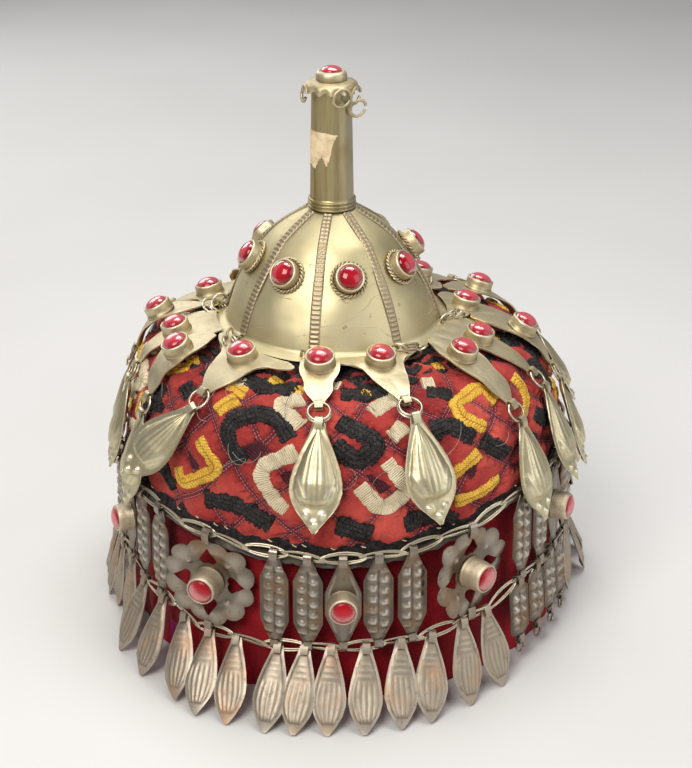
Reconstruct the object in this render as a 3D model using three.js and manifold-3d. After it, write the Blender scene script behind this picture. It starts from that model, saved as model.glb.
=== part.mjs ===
// A ceremonial wedding hat: a quilted cap on a cloth lining band, a ribbed metal dome with a tube
// finial, two rings of stone-set plates with hanging teardrops, and a fringe of two chains that
// carry rosettes, lozenges, ribbed plates and a row of long drops.
// Millimetres, +Z up. The wearer's face looks along -Y, and azimuth 0 is the front.
// The hat stands on its lining band, as it does when it is taken off.

import * as THREE from 'three';
import { mergeVertices } from 'three/addons/utils/BufferGeometryUtils.js';
import Module from 'manifold-3d';

const wasm = await Module();
wasm.setup();

// Clearance between pieces that touch
const GAP = 0.3;

// Quilted cap
const CAP_RADIUS = 95;
const CAP_WALL = 3;
const CAP_RIM_HEIGHT = 66;
const CAP_RISE = 62;
const CAP_LEAN = 4.7;
const CAP_SIDES = 28;

// Rolled binding under the rim, and the lining band that goes down to the table
const ROLL_RADIUS = 2.5;
const ROLL_SIDES = 5;
const BAND_WALL = 2;
const BAND_FLARE = 4.5;
const BAND_TUCK = 6;
const BAND_WAVE = 0.9;
const BAND_WAVES = 7;
const BAND_SKIRT = 0.78;
const BAND_BEND = 0.38;
const BAND_BEND_FLARE = 0.55;

// Metal dome
const DOME_RADIUS = 0.479 * CAP_RADIUS;
const DOME_HEIGHT = 48;
const DOME_SEAT = 0.985;
const DOME_WALL = 1.2;
const DOME_SIDE_WALL = 1.44;
const DOME_FLANGE = 4.5;
const DOME_RIBS = 8;
const RIB_AZIMUTH = -9;
const RIB_HALF_WIDTH = 2;
const RIB_HEIGHT = 1;
const DOME_STONE_AZIMUTH = 12;
const DOME_STONE_RISE = 29.3;

// Finial
const TUBE_TOP_RADIUS = 8.1;
const TUBE_FOOT_RADIUS = 9;
const TUBE_WALL = 1.1;
const TUBE_LENGTH = 44.2;
const COLLAR_RADIUS = 10.2;
const COLLAR_HEIGHT = 5;
const COLLAR_SHOULDER = 0.85;
const FINIAL_SIDES = 16;
const FINIAL_RUFFLE_RADIUS = 11.4;
const FINIAL_RUFFLE_DROP = 1.6;
const FINIAL_RUFFLE_SIDES = 20;
const FINIAL_FOLD_DEPTH = 1.3;
const FINIAL_FOLD_RISE = 1.2;
const FINIAL_BRIM_LEAN = 1.5;
const FINIAL_BRIM_HEIGHT = 0.15;
const FINIAL_BEZEL_FOOT = 0.5;
const FINIAL_CAP_HEIGHT = 7;
const FINIAL_BEZEL_RADIUS = 6.3;
const FINIAL_STONE_RADIUS = 4.2;

// Stones and their settings
const SETTING_RADIUS = 6.5;
const SETTING_HEIGHT = 4.2;
const SETTING_TAPER = 0.86;
const STONE_BULGE = 1.4;
const STONE_SIDES = 10;

// Plates round the dome, their jump rings and the teardrops that hang from them
const PLATE_THICKNESS = 0.9;
const PLATE_FAN = 0.6;
const WING_SPAN = 19;
const WING_TONGUE = 22;
const WING_BACK = 9;
const WING_LIFT = 3;
const TIP_LIFT = 0.8;
const LEAF_REACH = 24;
const LEAF_HALF_WIDTH = 7.8;
const TEARDROP_STRAP = 8.5;
const TEARDROP_LIFT = 2.4;
const TEARDROP_LENGTH = 42;
const TEARDROP_HALF_WIDTH = 10.2;
const TEARDROP_BULGE = 4;
const TEARDROP_THICKNESS = 1;
const TEARDROP_STANDOFF = 8;

// Fringe
const CHAIN_WIRE = 1.4;
const CHAIN_WIRE_SIDES = 6;
const CHAIN_LINKS = 40;
const UPPER_CHAIN_CLEARANCE = 3.2;
const UPPER_CHAIN_RADIUS = CAP_RADIUS + UPPER_CHAIN_CLEARANCE;
const UPPER_CHAIN_RISE = 1.6;
const LOWER_CHAIN_CLEARANCE = 4.8;
const LOWER_CHAIN_RADIUS = CAP_RADIUS + LOWER_CHAIN_CLEARANCE;
const PANEL_THICKNESS = 1;
const STRAP_HALF_WIDTH = 1.6;
const RIBBED_HALF_WIDTH = 5.9;
const RIBBED_SHOULDER = 9.5;
const RIBBED_SPACE = 1.7;
const LOZENGE_HALF_WIDTH = 7.2;
const LOZENGE_SHOULDER = 5;
const LOZENGE_CUP_RADIUS = 6;
const LOZENGE_CUP_HEIGHT = 7;
const ROSETTE_RADIUS = 20;
const ROSETTE_CUP_RADIUS = 7;
const ROSETTE_CUP_HEIGHT = 8;
const ROSETTE_PETALS = 12;
const ROSETTE_NOTCH = 0.85;
const ROSETTE_NEAR_STRAP = 0.92;
const ROSETTE_HOLE_FROM = 0.47;
const ROSETTE_HOLE_TO = 0.74;
const ROSETTE_HOLE_TURN = 10;
const FRINGE_DROP_LENGTH = 34.5;
const FRINGE_DROP_SHARE = 0.0685;
const FRINGE_DROP_HALF_WIDTH = FRINGE_DROP_SHARE * LOWER_CHAIN_RADIUS;
const FRINGE_TIP_HEIGHT = 0.7;
const FRINGE_MOST_FALL = 0.995;

// Outline of the cap from the crown to the rim, as shares of its radius and rise
const capOutline = [
  { radius: 0.000, height: 1.008 },
  { radius: 0.220, height: 1.000 },
  { radius: 0.470, height: 0.985 },
  { radius: 0.600, height: 0.960 },
  { radius: 0.740, height: 0.915 },
  { radius: 0.840, height: 0.850 },
  { radius: 0.895, height: 0.760 },
  { radius: 0.935, height: 0.640 },
  { radius: 0.967, height: 0.460 },
  { radius: 0.990, height: 0.200 },
  { radius: 1.000, height: 0.000 },
];
const capInnerRows = [0, 2, 4, 6, 8, 10];

// Outline of the dome from the top to the foot, as shares of its radius and height
const domeOutline = [
  { radius: 0.225, height: 1.000 },
  { radius: 0.460, height: 0.855 },
  { radius: 0.600, height: 0.730 },
  { radius: 0.810, height: 0.445 },
  { radius: 0.915, height: 0.250 },
  { radius: 1.000, height: 0.030 },
];
const domeInnerRows = [1, 3, 5];

// How much higher the rim and the upper chain hang on each side than in front, in cap rises
const rimLift = [
  { azimuth: -180, value: 0.10 },
  { azimuth: -90, value: 0.10 },
  { azimuth: -64, value: 0.08 },
  { azimuth: -35, value: 0.045 },
  { azimuth: -20, value: 0.016 },
  { azimuth: 0, value: 0.00 },
  { azimuth: 13, value: 0.032 },
  { azimuth: 28, value: 0.10 },
  { azimuth: 47, value: 0.21 },
  { azimuth: 66, value: 0.225 },
  { azimuth: 100, value: 0.15 },
];

// Height of the lower chain above the table, as a share of the length of a fringe drop
const lowerChainHeight = [
  { azimuth: -180, value: 0.80 },
  { azimuth: -120, value: 0.86 },
  { azimuth: -90, value: 0.98 },
  { azimuth: -66, value: 1.01 },
  { azimuth: -50, value: 0.88 },
  { azimuth: -34, value: 0.73 },
  { azimuth: -20, value: 0.76 },
  { azimuth: 0, value: 0.81 },
  { azimuth: 20, value: 0.86 },
  { azimuth: 34, value: 0.97 },
  { azimuth: 50, value: 1.20 },
  { azimuth: 66, value: 1.20 },
  { azimuth: 100, value: 0.92 },
];

// Plates: azimuth and radius of the stone, turn about the stone, half span or reach in front of it,
// reach behind it, and the swing and standoff of the teardrop. All but the degrees are shares.
const wingPlates = [
  { azimuth: 21, radius: 0.563, turn: 0, span: 1.000, back: 0.54, swing: 2, standoff: 1 },
  { azimuth: 68, radius: 0.674, turn: 0, span: 0.816, back: 1.71, swing: -1, standoff: 1.4 },
  { azimuth: 98, radius: 0.600, turn: 0, span: 0.763, back: 0.93, swing: 1, standoff: 1.3 },
  { azimuth: 138, radius: 0.600, turn: 0, span: 0.974, back: 0.93, swing: 2, standoff: 1 },
  { azimuth: 188, radius: 0.600, turn: 0, span: 0.974, back: 0.93, swing: -2, standoff: 1 },
  { azimuth: 247, radius: 0.611, turn: 0, span: 0.895, back: 1.04, swing: 1, standoff: 1 },
  { azimuth: 283, radius: 0.695, turn: 0, span: 0.711, back: 1.93, swing: 0, standoff: 1 },
  { azimuth: 322, radius: 0.600, turn: -8, span: 1.200, back: 0.65, swing: -12, standoff: 1.75 },
];
const leafPlates = [
  { azimuth: -4.5, radius: 0.579, turn: 0, front: 0.833, back: 0.229, swing: 0, standoff: 1 },
  { azimuth: 51, radius: 0.695, turn: 0, front: 1.000, back: 0.625, swing: 0, standoff: 1.4 },
  { azimuth: 85, radius: 0.811, turn: 0, front: 0.750, back: 0.833, swing: -1, standoff: 1.5 },
  { azimuth: 116, radius: 0.737, turn: 0, front: 0.917, back: 0.667, swing: 2, standoff: 1 },
  { azimuth: 163, radius: 0.695, turn: 0, front: 1.000, back: 0.625, swing: 0, standoff: 1 },
  { azimuth: 214, radius: 0.695, turn: 0, front: 1.000, back: 0.625, swing: 1, standoff: 1 },
  { azimuth: 265, radius: 0.768, turn: 0, front: 0.833, back: 0.750, swing: 0, standoff: 1 },
  { azimuth: 299, radius: 0.737, turn: 0, front: 0.917, back: 0.667, swing: -1, standoff: 1 },
];

// Rows of a winged plate: places at the middle and at the edge, as shares of the reach behind the
// stone (negative) or of the tongue, and half width as a share of the span
const wingRows = [
  { middle: -1.00, edge: -1.00, width: 0.80 },
  { middle: -0.25, edge: -0.45, width: 1.00 },
  { middle: 0.20, edge: 0.06, width: 0.55 },
  { middle: 0.46, edge: 0.46, width: 0.36 },
  { middle: 1.00, edge: 1.00, width: 0.10 },
];

// Rows of a leaf plate: place as a share of the reach behind (negative) or in front of the stone
const leafRows = [
  { place: -1.0, width: 0.30 },
  { place: -0.4, width: 0.90 },
  { place: 0.2, width: 1.00 },
  { place: 0.62, width: 0.66 },
  { place: 1.0, width: 0.22 },
];

// Rows of a teardrop: the strap's two ends, then the shell down to its tip
const teardropRows = [
  { along: -1, width: 0.15, bulge: 0.0 },
  { along: 0.04, width: 0.17, bulge: 0.0 },
  { along: 0.28, width: 0.66, bulge: 0.8 },
  { along: 0.62, width: 1.00, bulge: 1.0 },
  { along: 0.80, width: 0.66, bulge: 0.5 },
  { along: 1.00, width: 0.07, bulge: 0.0 },
];

// Outline of a fringe drop, from the strap to the tip, as shares of its length and half width
const fringeDropOutline = [
  { along: 0.00, width: 0.24 },
  { along: 0.60, width: 1.00 },
  { along: 1.00, width: 0.08 },
];

// Places round the fringe, in degrees
const lozengeAzimuths = [0, 63, 133, -133, -65];
const rosetteAzimuths = [30.8, 98, 180, -99, -33];
const extraRibbedAzimuths = [156.5, -156.5];
const frontDropAzimuths = [-48, -40.5, -32.8, -25.3, -15, -8.7, -2.7, 5.2, 13.2, 20.6, 28.7, 35.2];
const sidePlateAzimuths = [46, 53, 60, 67];
const BACK_DROPS_FROM = 76;
const BACK_DROPS_TO = 304;
const BACK_DROPS = 30;

// Finishes
function finish(color, roughness, metalness) {
  return new THREE.MeshStandardMaterial({ color, roughness, metalness });
}
const quiltedRed = finish(0xa83a34, 0.95, 0);
const darkBinding = finish(0x4a4038, 0.95, 0);
const brightRed = finish(0xb01524, 0.9, 0);
const paleBrass = finish(0xb9ac7c, 0.38, 1);
const tubeBrass = finish(0x8d7a42, 0.45, 1);
const plateMetal = finish(0xbdb494, 0.36, 1);
const darkSilver = finish(0x8d8377, 0.42, 1);
const brightSilver = finish(0xb5aca0, 0.36, 1);
const redGlass = finish(0xa80a1e, 0.12, 0);

const { clamp, degToRad, lerp } = THREE.MathUtils;

// Point at a radius, azimuth and height about the cap's axis
function polar(radius, azimuth, height) {
  const turn = degToRad(azimuth);
  return new THREE.Vector3(radius * Math.sin(turn), -radius * Math.cos(turn), height);
}

function azimuthOf(point) {
  return THREE.MathUtils.radToDeg(Math.atan2(point.x, -point.y));
}

// Value of a table round the hat, eased from row to row
function valueAround(table, azimuth) {
  const from = table[0].azimuth;
  const place = THREE.MathUtils.euclideanModulo(azimuth - from, 360) + from;
  const rows = [...table, { azimuth: from + 360, value: table[0].value }];
  const next = rows.findIndex((row) => row.azimuth > place);
  const low = rows[next - 1];
  const high = rows[next];
  const share = THREE.MathUtils.smoothstep(place, low.azimuth, high.azimuth);
  return lerp(low.value, high.value, share);
}

// Cap outline with the arc length from the crown and the outward direction of each row
function measuredOutline() {
  const rows = capOutline.map((row) => ({
    radius: row.radius * CAP_RADIUS,
    height: CAP_RIM_HEIGHT + row.height * CAP_RISE,
    arc: 0,
  }));
  rows.forEach((row, index) => {
    const before = rows[Math.max(index - 1, 0)];
    const after = rows[Math.min(index + 1, rows.length - 1)];
    const slope = new THREE.Vector2(before.height - after.height, after.radius - before.radius).normalize();
    row.outRadius = index === 0 ? 0 : slope.x;
    row.outHeight = index === 0 ? 1 : slope.y;
    if (index > 0) {
      row.arc = before.arc + Math.hypot(row.radius - before.radius, row.height - before.height);
    }
  });
  return rows;
}
const outline = measuredOutline();

function betweenRows(column, value) {
  const next = clamp(outline.findIndex((row) => row[column] > value), 1, outline.length - 1);
  const low = outline[next - 1];
  const high = outline[next];
  return { low, high, share: (value - low[column]) / (high[column] - low[column]) };
}

function arcAtRadius(radius) {
  const { low, high, share } = betweenRows('radius', radius);
  return lerp(low.arc, high.arc, share);
}

// Share of the cap's rise at a height
function riseShare(height) {
  return clamp((height - CAP_RIM_HEIGHT) / CAP_RISE, 0, 1);
}

// The cap's crown leans to one side and its rim is higher on one side: moves a point with both
function settle(point) {
  const share = riseShare(point.z);
  const lift = CAP_RISE * valueAround(rimLift, azimuthOf(point));
  point.x -= CAP_LEAN * share ** 4;
  point.z += lift * (1 - share) ** 2;
  return point;
}

// Point above the cap's surface, at an arc length from the crown
function aboveCap(azimuth, arc, lift) {
  const { low, high, share } = betweenRows('arc', arc);
  const radius = lerp(low.radius, high.radius, share) + lift * lerp(low.outRadius, high.outRadius, share);
  const height = lerp(low.height, high.height, share) + lift * lerp(low.outHeight, high.outHeight, share);
  return settle(polar(radius, azimuth, height));
}

// Closed mesh with shared corners, no flat faces of zero size, and faces that point out
function closedMesh(geometry) {
  const bare = geometry.clone();
  bare.deleteAttribute('normal');
  bare.deleteAttribute('uv');
  const mesh = mergeVertices(bare, 1e-3);
  const corners = mesh.index.array;
  const kept = [];
  for (let i = 0; i < corners.length; i += 3) {
    const [a, b, c] = [corners[i], corners[i + 1], corners[i + 2]];
    if (a !== b && b !== c && a !== c) kept.push(a, b, c);
  }
  mesh.setIndex(kept);
  return volumeOf(mesh) < 0 ? turnedInsideOut(mesh) : mesh;
}

function volumeOf(mesh) {
  const place = mesh.attributes.position;
  const corners = mesh.index.array;
  const corner = (i) => new THREE.Vector3().fromBufferAttribute(place, corners[i]);
  let volume = 0;
  for (let i = 0; i < corners.length; i += 3) {
    volume += corner(i).dot(corner(i + 1).cross(corner(i + 2))) / 6;
  }
  return volume;
}

function turnedInsideOut(mesh) {
  const corners = Array.from(mesh.index.array);
  for (let i = 0; i < corners.length; i += 3) {
    [corners[i + 1], corners[i + 2]] = [corners[i + 2], corners[i + 1]];
  }
  mesh.setIndex(corners);
  return mesh;
}

function solidOf(geometry) {
  const mesh = closedMesh(geometry);
  return new wasm.Manifold(new wasm.Mesh({
    numProp: 3,
    vertProperties: new Float32Array(mesh.attributes.position.array),
    triVerts: new Uint32Array(mesh.index.array),
  }));
}

// One body out of several that overlap
function joined(geometries) {
  const whole = geometries.map(solidOf).reduce((sum, solid) => sum.add(solid));
  const { vertProperties, triVerts } = whole.getMesh();
  const geometry = new THREE.BufferGeometry();
  geometry.setAttribute('position', new THREE.BufferAttribute(vertProperties, 3));
  geometry.setIndex(new THREE.BufferAttribute(triVerts, 1));
  return geometry;
}

function movedCorners(geometry, move) {
  const place = geometry.attributes.position;
  const point = new THREE.Vector3();
  for (let i = 0; i < place.count; i += 1) {
    point.fromBufferAttribute(place, i);
    const moved = move(point);
    place.setXYZ(i, moved.x, moved.y, moved.z);
  }
  return geometry;
}

// Body of revolution about Z from rows of [radius, height]
function turned(rows, sides) {
  const profile = rows.map(([radius, height]) => new THREE.Vector2(radius, height));
  return new THREE.LatheGeometry(profile, sides).rotateX(Math.PI / 2);
}

// Thin sheet: place(across, along, side) gives the point for across in -1..1, along in 0..1 and
// side 0 (back) or 1 (front)
function sheet(columns, rows, place) {
  const block = new THREE.BoxGeometry(2, 1, 1, columns, rows, 1);
  return movedCorners(block, (point) => place(point.x, point.y + 0.5, point.z + 0.5));
}

// Moves a piece so that its X, Y and Z lie along across, up and out
function stood(geometry, origin, across, up, out) {
  const frame = new THREE.Matrix4().makeBasis(across, up, out).setPosition(origin);
  return geometry.applyMatrix4(frame);
}

function flatPiece(points, thickness, holes = []) {
  const shape = new THREE.Shape(points.map(([x, y]) => new THREE.Vector2(x, y)));
  shape.holes = holes.map((hole) => new THREE.Path(hole.map(([x, y]) => new THREE.Vector2(x, y))));
  return new THREE.ExtrudeGeometry(shape, { depth: thickness, bevelEnabled: false });
}

function mirrored(rows) {
  return [...rows, ...rows.map(([x, y]) => [-x, y]).reverse()];
}

const hat = new THREE.Group();

function addPiece(name, geometry, material) {
  const mesh = new THREE.Mesh(closedMesh(geometry), material);
  mesh.name = name;
  hat.add(mesh);
}

// Cap: the outer face from the crown to the rim, and the inner face back again
function makeCap() {
  const outer = outline.map((row) => [row.radius, row.height]);
  const inner = capInnerRows.map((index) => {
    const row = outline[index];
    const atRim = index === outline.length - 1;
    const height = atRim ? row.height : row.height - CAP_WALL * row.outHeight;
    return [row.radius - CAP_WALL * (atRim ? 1 : row.outRadius), height];
  });
  const shell = turned([...outer, ...inner.reverse()], CAP_SIDES);
  addPiece('cap_shell', movedCorners(shell, settle), quiltedRed);
}

function makeRimRoll() {
  const height = CAP_RIM_HEIGHT - GAP - ROLL_RADIUS;
  const middle = CAP_RADIUS - CAP_WALL / 2;
  const roll = new THREE.TorusGeometry(middle, ROLL_RADIUS, ROLL_SIDES, CAP_SIDES);
  movedCorners(roll, (point) => {
    const lift = CAP_RISE * valueAround(rimLift, azimuthOf(point));
    point.z += height + lift;
    return point;
  });
  addPiece('rim_roll', roll, darkBinding);
}

function makeBand() {
  const rollInside = CAP_RADIUS - CAP_WALL / 2 - ROLL_RADIUS;
  const top = rollInside - GAP;
  const height = CAP_RIM_HEIGHT + BAND_TUCK;
  const rows = [
    [top + BAND_FLARE, 0],
    [top + BAND_BEND_FLARE * BAND_FLARE, BAND_BEND * height],
    [top, BAND_SKIRT * height],
    [top, height],
    [top - BAND_WALL, height],
    [top - BAND_WALL + BAND_FLARE, 0],
  ];
  const band = turned([...rows, rows[0]], CAP_SIDES);
  movedCorners(band, (point) => {
    const share = point.z / height;
    const azimuth = azimuthOf(point);
    const lift = CAP_RISE * valueAround(rimLift, azimuth);
    const skirt = clamp(1 - share / BAND_SKIRT, 0, 1);
    const wave = BAND_WAVE * Math.sin(degToRad(BAND_WAVES * azimuth)) * skirt;
    const scale = 1 + wave / Math.hypot(point.x, point.y);
    return point.set(point.x * scale, point.y * scale, point.z + lift * share);
  });
  addPiece('red_band', band, brightRed);
}

// Dome
const domeFoot = CAP_RIM_HEIGHT + DOME_SEAT * CAP_RISE + GAP;
const domeOuter = domeOutline.map((row) => ({
  radius: row.radius * DOME_RADIUS,
  height: domeFoot + DOME_WALL + row.height * DOME_HEIGHT,
}));
const domeTop = domeOuter[0].height;

function domeRadiusAt(height) {
  const next = clamp(domeOuter.findIndex((row) => row.height < height), 1, domeOuter.length - 1);
  const low = domeOuter[next - 1];
  const high = domeOuter[next];
  return lerp(low.radius, high.radius, (height - low.height) / (high.height - low.height));
}

function onDome(geometry) {
  return geometry.translate(-CAP_LEAN, 0, 0);
}

// Frame of a dome stone: its seat, and the directions across, up and out
function domeStoneFrame(index) {
  const azimuth = DOME_STONE_AZIMUTH + (index * 360) / DOME_RIBS;
  const height = domeFoot + DOME_STONE_RISE;
  const reach = 3;
  const low = polar(domeRadiusAt(height - reach), azimuth, height - reach);
  const high = polar(domeRadiusAt(height + reach), azimuth, height + reach);
  const up = high.clone().sub(low).normalize();
  const across = polar(1, azimuth + 90, 0);
  const out = across.clone().cross(up);
  return { seat: low.add(high).multiplyScalar(0.5), across, up, out };
}

function makeDome() {
  const columnsPerRib = 4;
  const sides = DOME_RIBS * columnsPerRib;
  const ribPitch = 360 / DOME_RIBS;
  const foot = domeFoot;
  const inner = domeInnerRows.map((index) => {
    const row = domeOuter[index];
    const atFoot = index === domeOuter.length - 1;
    return [row.radius - DOME_SIDE_WALL, atFoot ? foot : row.height - DOME_WALL];
  });
  const rows = [
    [0, domeTop],
    ...domeOuter.map((row) => [row.radius, row.height]),
    [DOME_RADIUS + DOME_FLANGE, foot + DOME_WALL],
    [DOME_RADIUS + DOME_FLANGE, foot],
    ...inner.reverse(),
    [0, domeTop - DOME_WALL],
  ];
  const shell = turned(rows, sides);
  movedCorners(shell, (point) => {
    const radius = Math.hypot(point.x, point.y);
    if (radius < 1) return point;
    const outside = radius > domeRadiusAt(point.z) - GAP && point.z > foot + DOME_WALL + GAP;
    const onFlange = radius > DOME_RADIUS + GAP;
    const column = Math.round((azimuthOf(point) / 360) * sides + sides) % sides;
    const [rib, place] = [Math.floor(column / columnsPerRib), column % columnsPerRib];
    const edge = Math.min(THREE.MathUtils.radToDeg(RIB_HALF_WIDTH / radius), ribPitch / 5);
    const offset = [0, edge, ribPitch / 2, ribPitch - edge][place];
    const raised = outside && !onFlange && place === 0 && point.z < domeTop - GAP;
    return polar(radius + (raised ? RIB_HEIGHT : 0), RIB_AZIMUTH + rib * ribPitch + offset, point.z);
  });
  addPiece('dome', onDome(shell), paleBrass);
}

// Setting and stone in one body, which goes down by sunk below its seat
function stoneInCup(radius, height, sunk) {
  const rows = [[0, -sunk], [radius, -sunk], [SETTING_TAPER * radius, height], [0, height + STONE_BULGE]];
  return turned(rows, STONE_SIDES);
}

function makeDomeStones() {
  for (let index = 0; index < DOME_RIBS; index += 1) {
    const { seat, across, up, out } = domeStoneFrame(index);
    const place = seat.clone().addScaledVector(out, GAP);
    const stone = stood(stoneInCup(SETTING_RADIUS, SETTING_HEIGHT, 0), place, across, up, out);
    addPiece(`dome_stone_${index + 1}`, onDome(stone), redGlass);
  }
}

// Finial: a tube with a ringed collar, a ruffled cap and a stone
const collarFoot = domeTop + GAP;
const tubeFoot = collarFoot + COLLAR_HEIGHT;
const tubeTop = tubeFoot + TUBE_LENGTH;

function makeFinial() {
  const tube = turned([
    [TUBE_FOOT_RADIUS - TUBE_WALL, collarFoot],
    [COLLAR_RADIUS, collarFoot],
    [COLLAR_RADIUS, collarFoot + COLLAR_SHOULDER * COLLAR_HEIGHT],
    [TUBE_FOOT_RADIUS, tubeFoot],
    [TUBE_TOP_RADIUS, tubeTop],
    [TUBE_TOP_RADIUS - TUBE_WALL, tubeTop],
    [TUBE_FOOT_RADIUS - TUBE_WALL, collarFoot],
  ], FINIAL_SIDES);
  addPiece('finial_tube', onDome(tube), tubeBrass);

  const seat = tubeTop + GAP;
  const sleeve = TUBE_TOP_RADIUS + 2 * GAP;
  const ruffle = turned([
    [0, seat],
    [sleeve, seat],
    [sleeve + 1, seat - FINIAL_RUFFLE_DROP],
    [FINIAL_RUFFLE_RADIUS, seat - FINIAL_RUFFLE_DROP],
    [FINIAL_RUFFLE_RADIUS - FINIAL_BRIM_LEAN, seat + FINIAL_BRIM_HEIGHT * FINIAL_CAP_HEIGHT],
    [FINIAL_BEZEL_RADIUS, seat + FINIAL_BEZEL_FOOT * FINIAL_CAP_HEIGHT],
    [FINIAL_BEZEL_RADIUS - GAP, seat + FINIAL_CAP_HEIGHT],
    [0, seat + FINIAL_CAP_HEIGHT],
  ], FINIAL_RUFFLE_SIDES);
  const petals = FINIAL_RUFFLE_SIDES / 2;
  movedCorners(ruffle, (point) => {
    const radius = Math.hypot(point.x, point.y);
    if (point.z > seat - GAP || radius < FINIAL_RUFFLE_RADIUS - GAP) return point;
    const fold = 0.5 - 0.5 * Math.cos(degToRad(petals * azimuthOf(point)));
    const height = point.z + FINIAL_FOLD_RISE * fold;
    return polar(radius - FINIAL_FOLD_DEPTH * fold, azimuthOf(point), height);
  });
  addPiece('finial_cap', onDome(ruffle), plateMetal);

  const base = seat + FINIAL_CAP_HEIGHT + GAP;
  const stone = turned([
    [0, base],
    [FINIAL_STONE_RADIUS, base],
    [SETTING_TAPER * FINIAL_STONE_RADIUS, base + STONE_BULGE],
    [0, base + 2 * STONE_BULGE],
  ], STONE_SIDES);
  addPiece('finial_stone', onDome(stone), redGlass);
}

// Plate that follows the cap: along runs down the cap from the stone, across runs round it
function capPlate(plate, rows, place, lift) {
  const radius = plate.radius * CAP_RADIUS;
  const arc = arcAtRadius(radius);
  const turn = degToRad(plate.turn);
  const spot = (along, across, height) => {
    const down = along * Math.cos(turn) - across * Math.sin(turn);
    const round = along * Math.sin(turn) + across * Math.cos(turn);
    const reach = radius + PLATE_FAN * down;
    const azimuth = plate.azimuth + THREE.MathUtils.radToDeg(round / reach);
    return aboveCap(azimuth, arc + down, height);
  };
  const body = sheet(2, rows.length - 1, (across, along, side) => {
    const row = rows[Math.round(along * (rows.length - 1))];
    const { down, width } = place(row, Math.abs(across));
    return spot(down, across * width, lift(down) + side * PLATE_THICKNESS);
  });
  const seat = spot(0, 0, lift(0));
  const up = spot(-2, 0, lift(-2)).sub(spot(2, 0, lift(2))).normalize();
  const side = spot(0, 2, lift(0)).sub(spot(0, -2, lift(0))).normalize();
  const out = side.clone().cross(up).normalize();
  const across = up.clone().cross(out);
  const cup = stood(stoneInCup(SETTING_RADIUS, SETTING_HEIGHT + PLATE_THICKNESS, 0),
    seat, across, up, out);
  return { geometry: joined([body, cup]), spot };
}

// Teardrop on a strap that starts at a plate's tip
function teardrop(hook, top, swing, standoff) {
  const azimuth = azimuthOf(top) + swing;
  const foot = polar(CAP_RADIUS + TEARDROP_STANDOFF * standoff, azimuth, 0);
  const plan = Math.hypot(foot.x - top.x, foot.y - top.y);
  foot.z = top.z - Math.sqrt(TEARDROP_LENGTH ** 2 - plan ** 2);
  const up = top.clone().sub(foot).normalize();
  const outward = polar(1, azimuth, 0);
  const out = outward.addScaledVector(up, -outward.dot(up)).normalize();
  const bodyAcross = up.clone().cross(out);
  return sheet(2, teardropRows.length - 1, (u, v, w) => {
    const row = teardropRows[Math.round(v * (teardropRows.length - 1))];
    const bulge = TEARDROP_BULGE * row.bulge * (1 - Math.abs(u)) + (w - 0.5) * TEARDROP_THICKNESS;
    const start = row.along < 0 ? hook : top;
    return start.clone()
      .addScaledVector(bodyAcross, u * row.width * TEARDROP_HALF_WIDTH)
      .addScaledVector(up, -Math.max(row.along, 0) * TEARDROP_LENGTH)
      .addScaledVector(out, bulge);
  });
}

function makePlate(kind, index, plate, rows, place, lift, front) {
  const { geometry, spot } = capPlate(plate, rows, place, lift);
  addPiece(`${kind}_plate_${index + 1}`, geometry, plateMetal);
  const hook = spot(front + GAP + TEARDROP_THICKNESS / 2, 0, lift(front) + PLATE_THICKNESS);
  const top = spot(front + TEARDROP_STRAP, 0, lift(front) + TEARDROP_LIFT);
  addPiece(`${kind}_drop_${index + 1}`, teardrop(hook, top, plate.swing, plate.standoff), plateMetal);
}

function makePlates() {
  wingPlates.forEach((plate, index) => {
    const place = (row, edge) => ({
      down: lerp(row.middle, row.edge, edge) * (row.middle < 0 ? plate.back * WING_BACK : WING_TONGUE),
      width: row.width * plate.span * WING_SPAN,
    });
    const lift = (down) => lerp(WING_LIFT, TIP_LIFT, clamp(down / WING_TONGUE, 0, 1));
    makePlate('wing', index, plate, wingRows, place, lift, WING_TONGUE);
  });
  leafPlates.forEach((plate, index) => {
    const place = (row) => ({
      down: row.place * LEAF_REACH * (row.place < 0 ? plate.back : plate.front),
      width: row.width * LEAF_HALF_WIDTH,
    });
    const root = WING_LIFT + PLATE_THICKNESS + 2 * GAP;
    const front = LEAF_REACH * plate.front;
    const lift = (down) => lerp(root, TIP_LIFT, clamp(down / front, 0, 1));
    makePlate('leaf', index, plate, leafRows, place, lift, front);
  });
}

// Fringe
function upperChainPoint(azimuth) {
  const lift = CAP_RISE * valueAround(rimLift, azimuth);
  return polar(UPPER_CHAIN_RADIUS, azimuth, CAP_RIM_HEIGHT + UPPER_CHAIN_RISE + lift);
}

function lowerChainPoint(azimuth) {
  return polar(LOWER_CHAIN_RADIUS, azimuth, FRINGE_DROP_LENGTH * valueAround(lowerChainHeight, azimuth));
}

// Chain as a ring whose section is turned, by half a side where pieces hang at a slant
function chainRing(pointAt, radius, sectionTurn) {
  const rows = Array.from({ length: CHAIN_WIRE_SIDES + 1 }, (_, index) => {
    const turn = degToRad(sectionTurn - (360 * index) / CHAIN_WIRE_SIDES);
    return [radius + CHAIN_WIRE * Math.cos(turn), CHAIN_WIRE * Math.sin(turn)];
  });
  return movedCorners(turned(rows, CHAIN_LINKS), (point) => {
    point.z += pointAt(azimuthOf(point)).z;
    return point;
  });
}

// Frame of a panel that spans the two chains
function panelFrame(azimuth) {
  const high = upperChainPoint(azimuth);
  const low = lowerChainPoint(azimuth);
  const up = high.clone().sub(low);
  const span = up.length();
  up.normalize();
  const across = polar(1, azimuth + 90, 0);
  const out = across.clone().cross(up);
  return { high, low, up, across, out, span };
}

// Panel outline from just above the lower chain to just below (or into) the upper one
function panelEnds(span, fused) {
  const reach = CHAIN_WIRE + GAP;
  return { low: -span / 2 + reach, high: span / 2 - (fused ? 0 : reach) };
}

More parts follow.
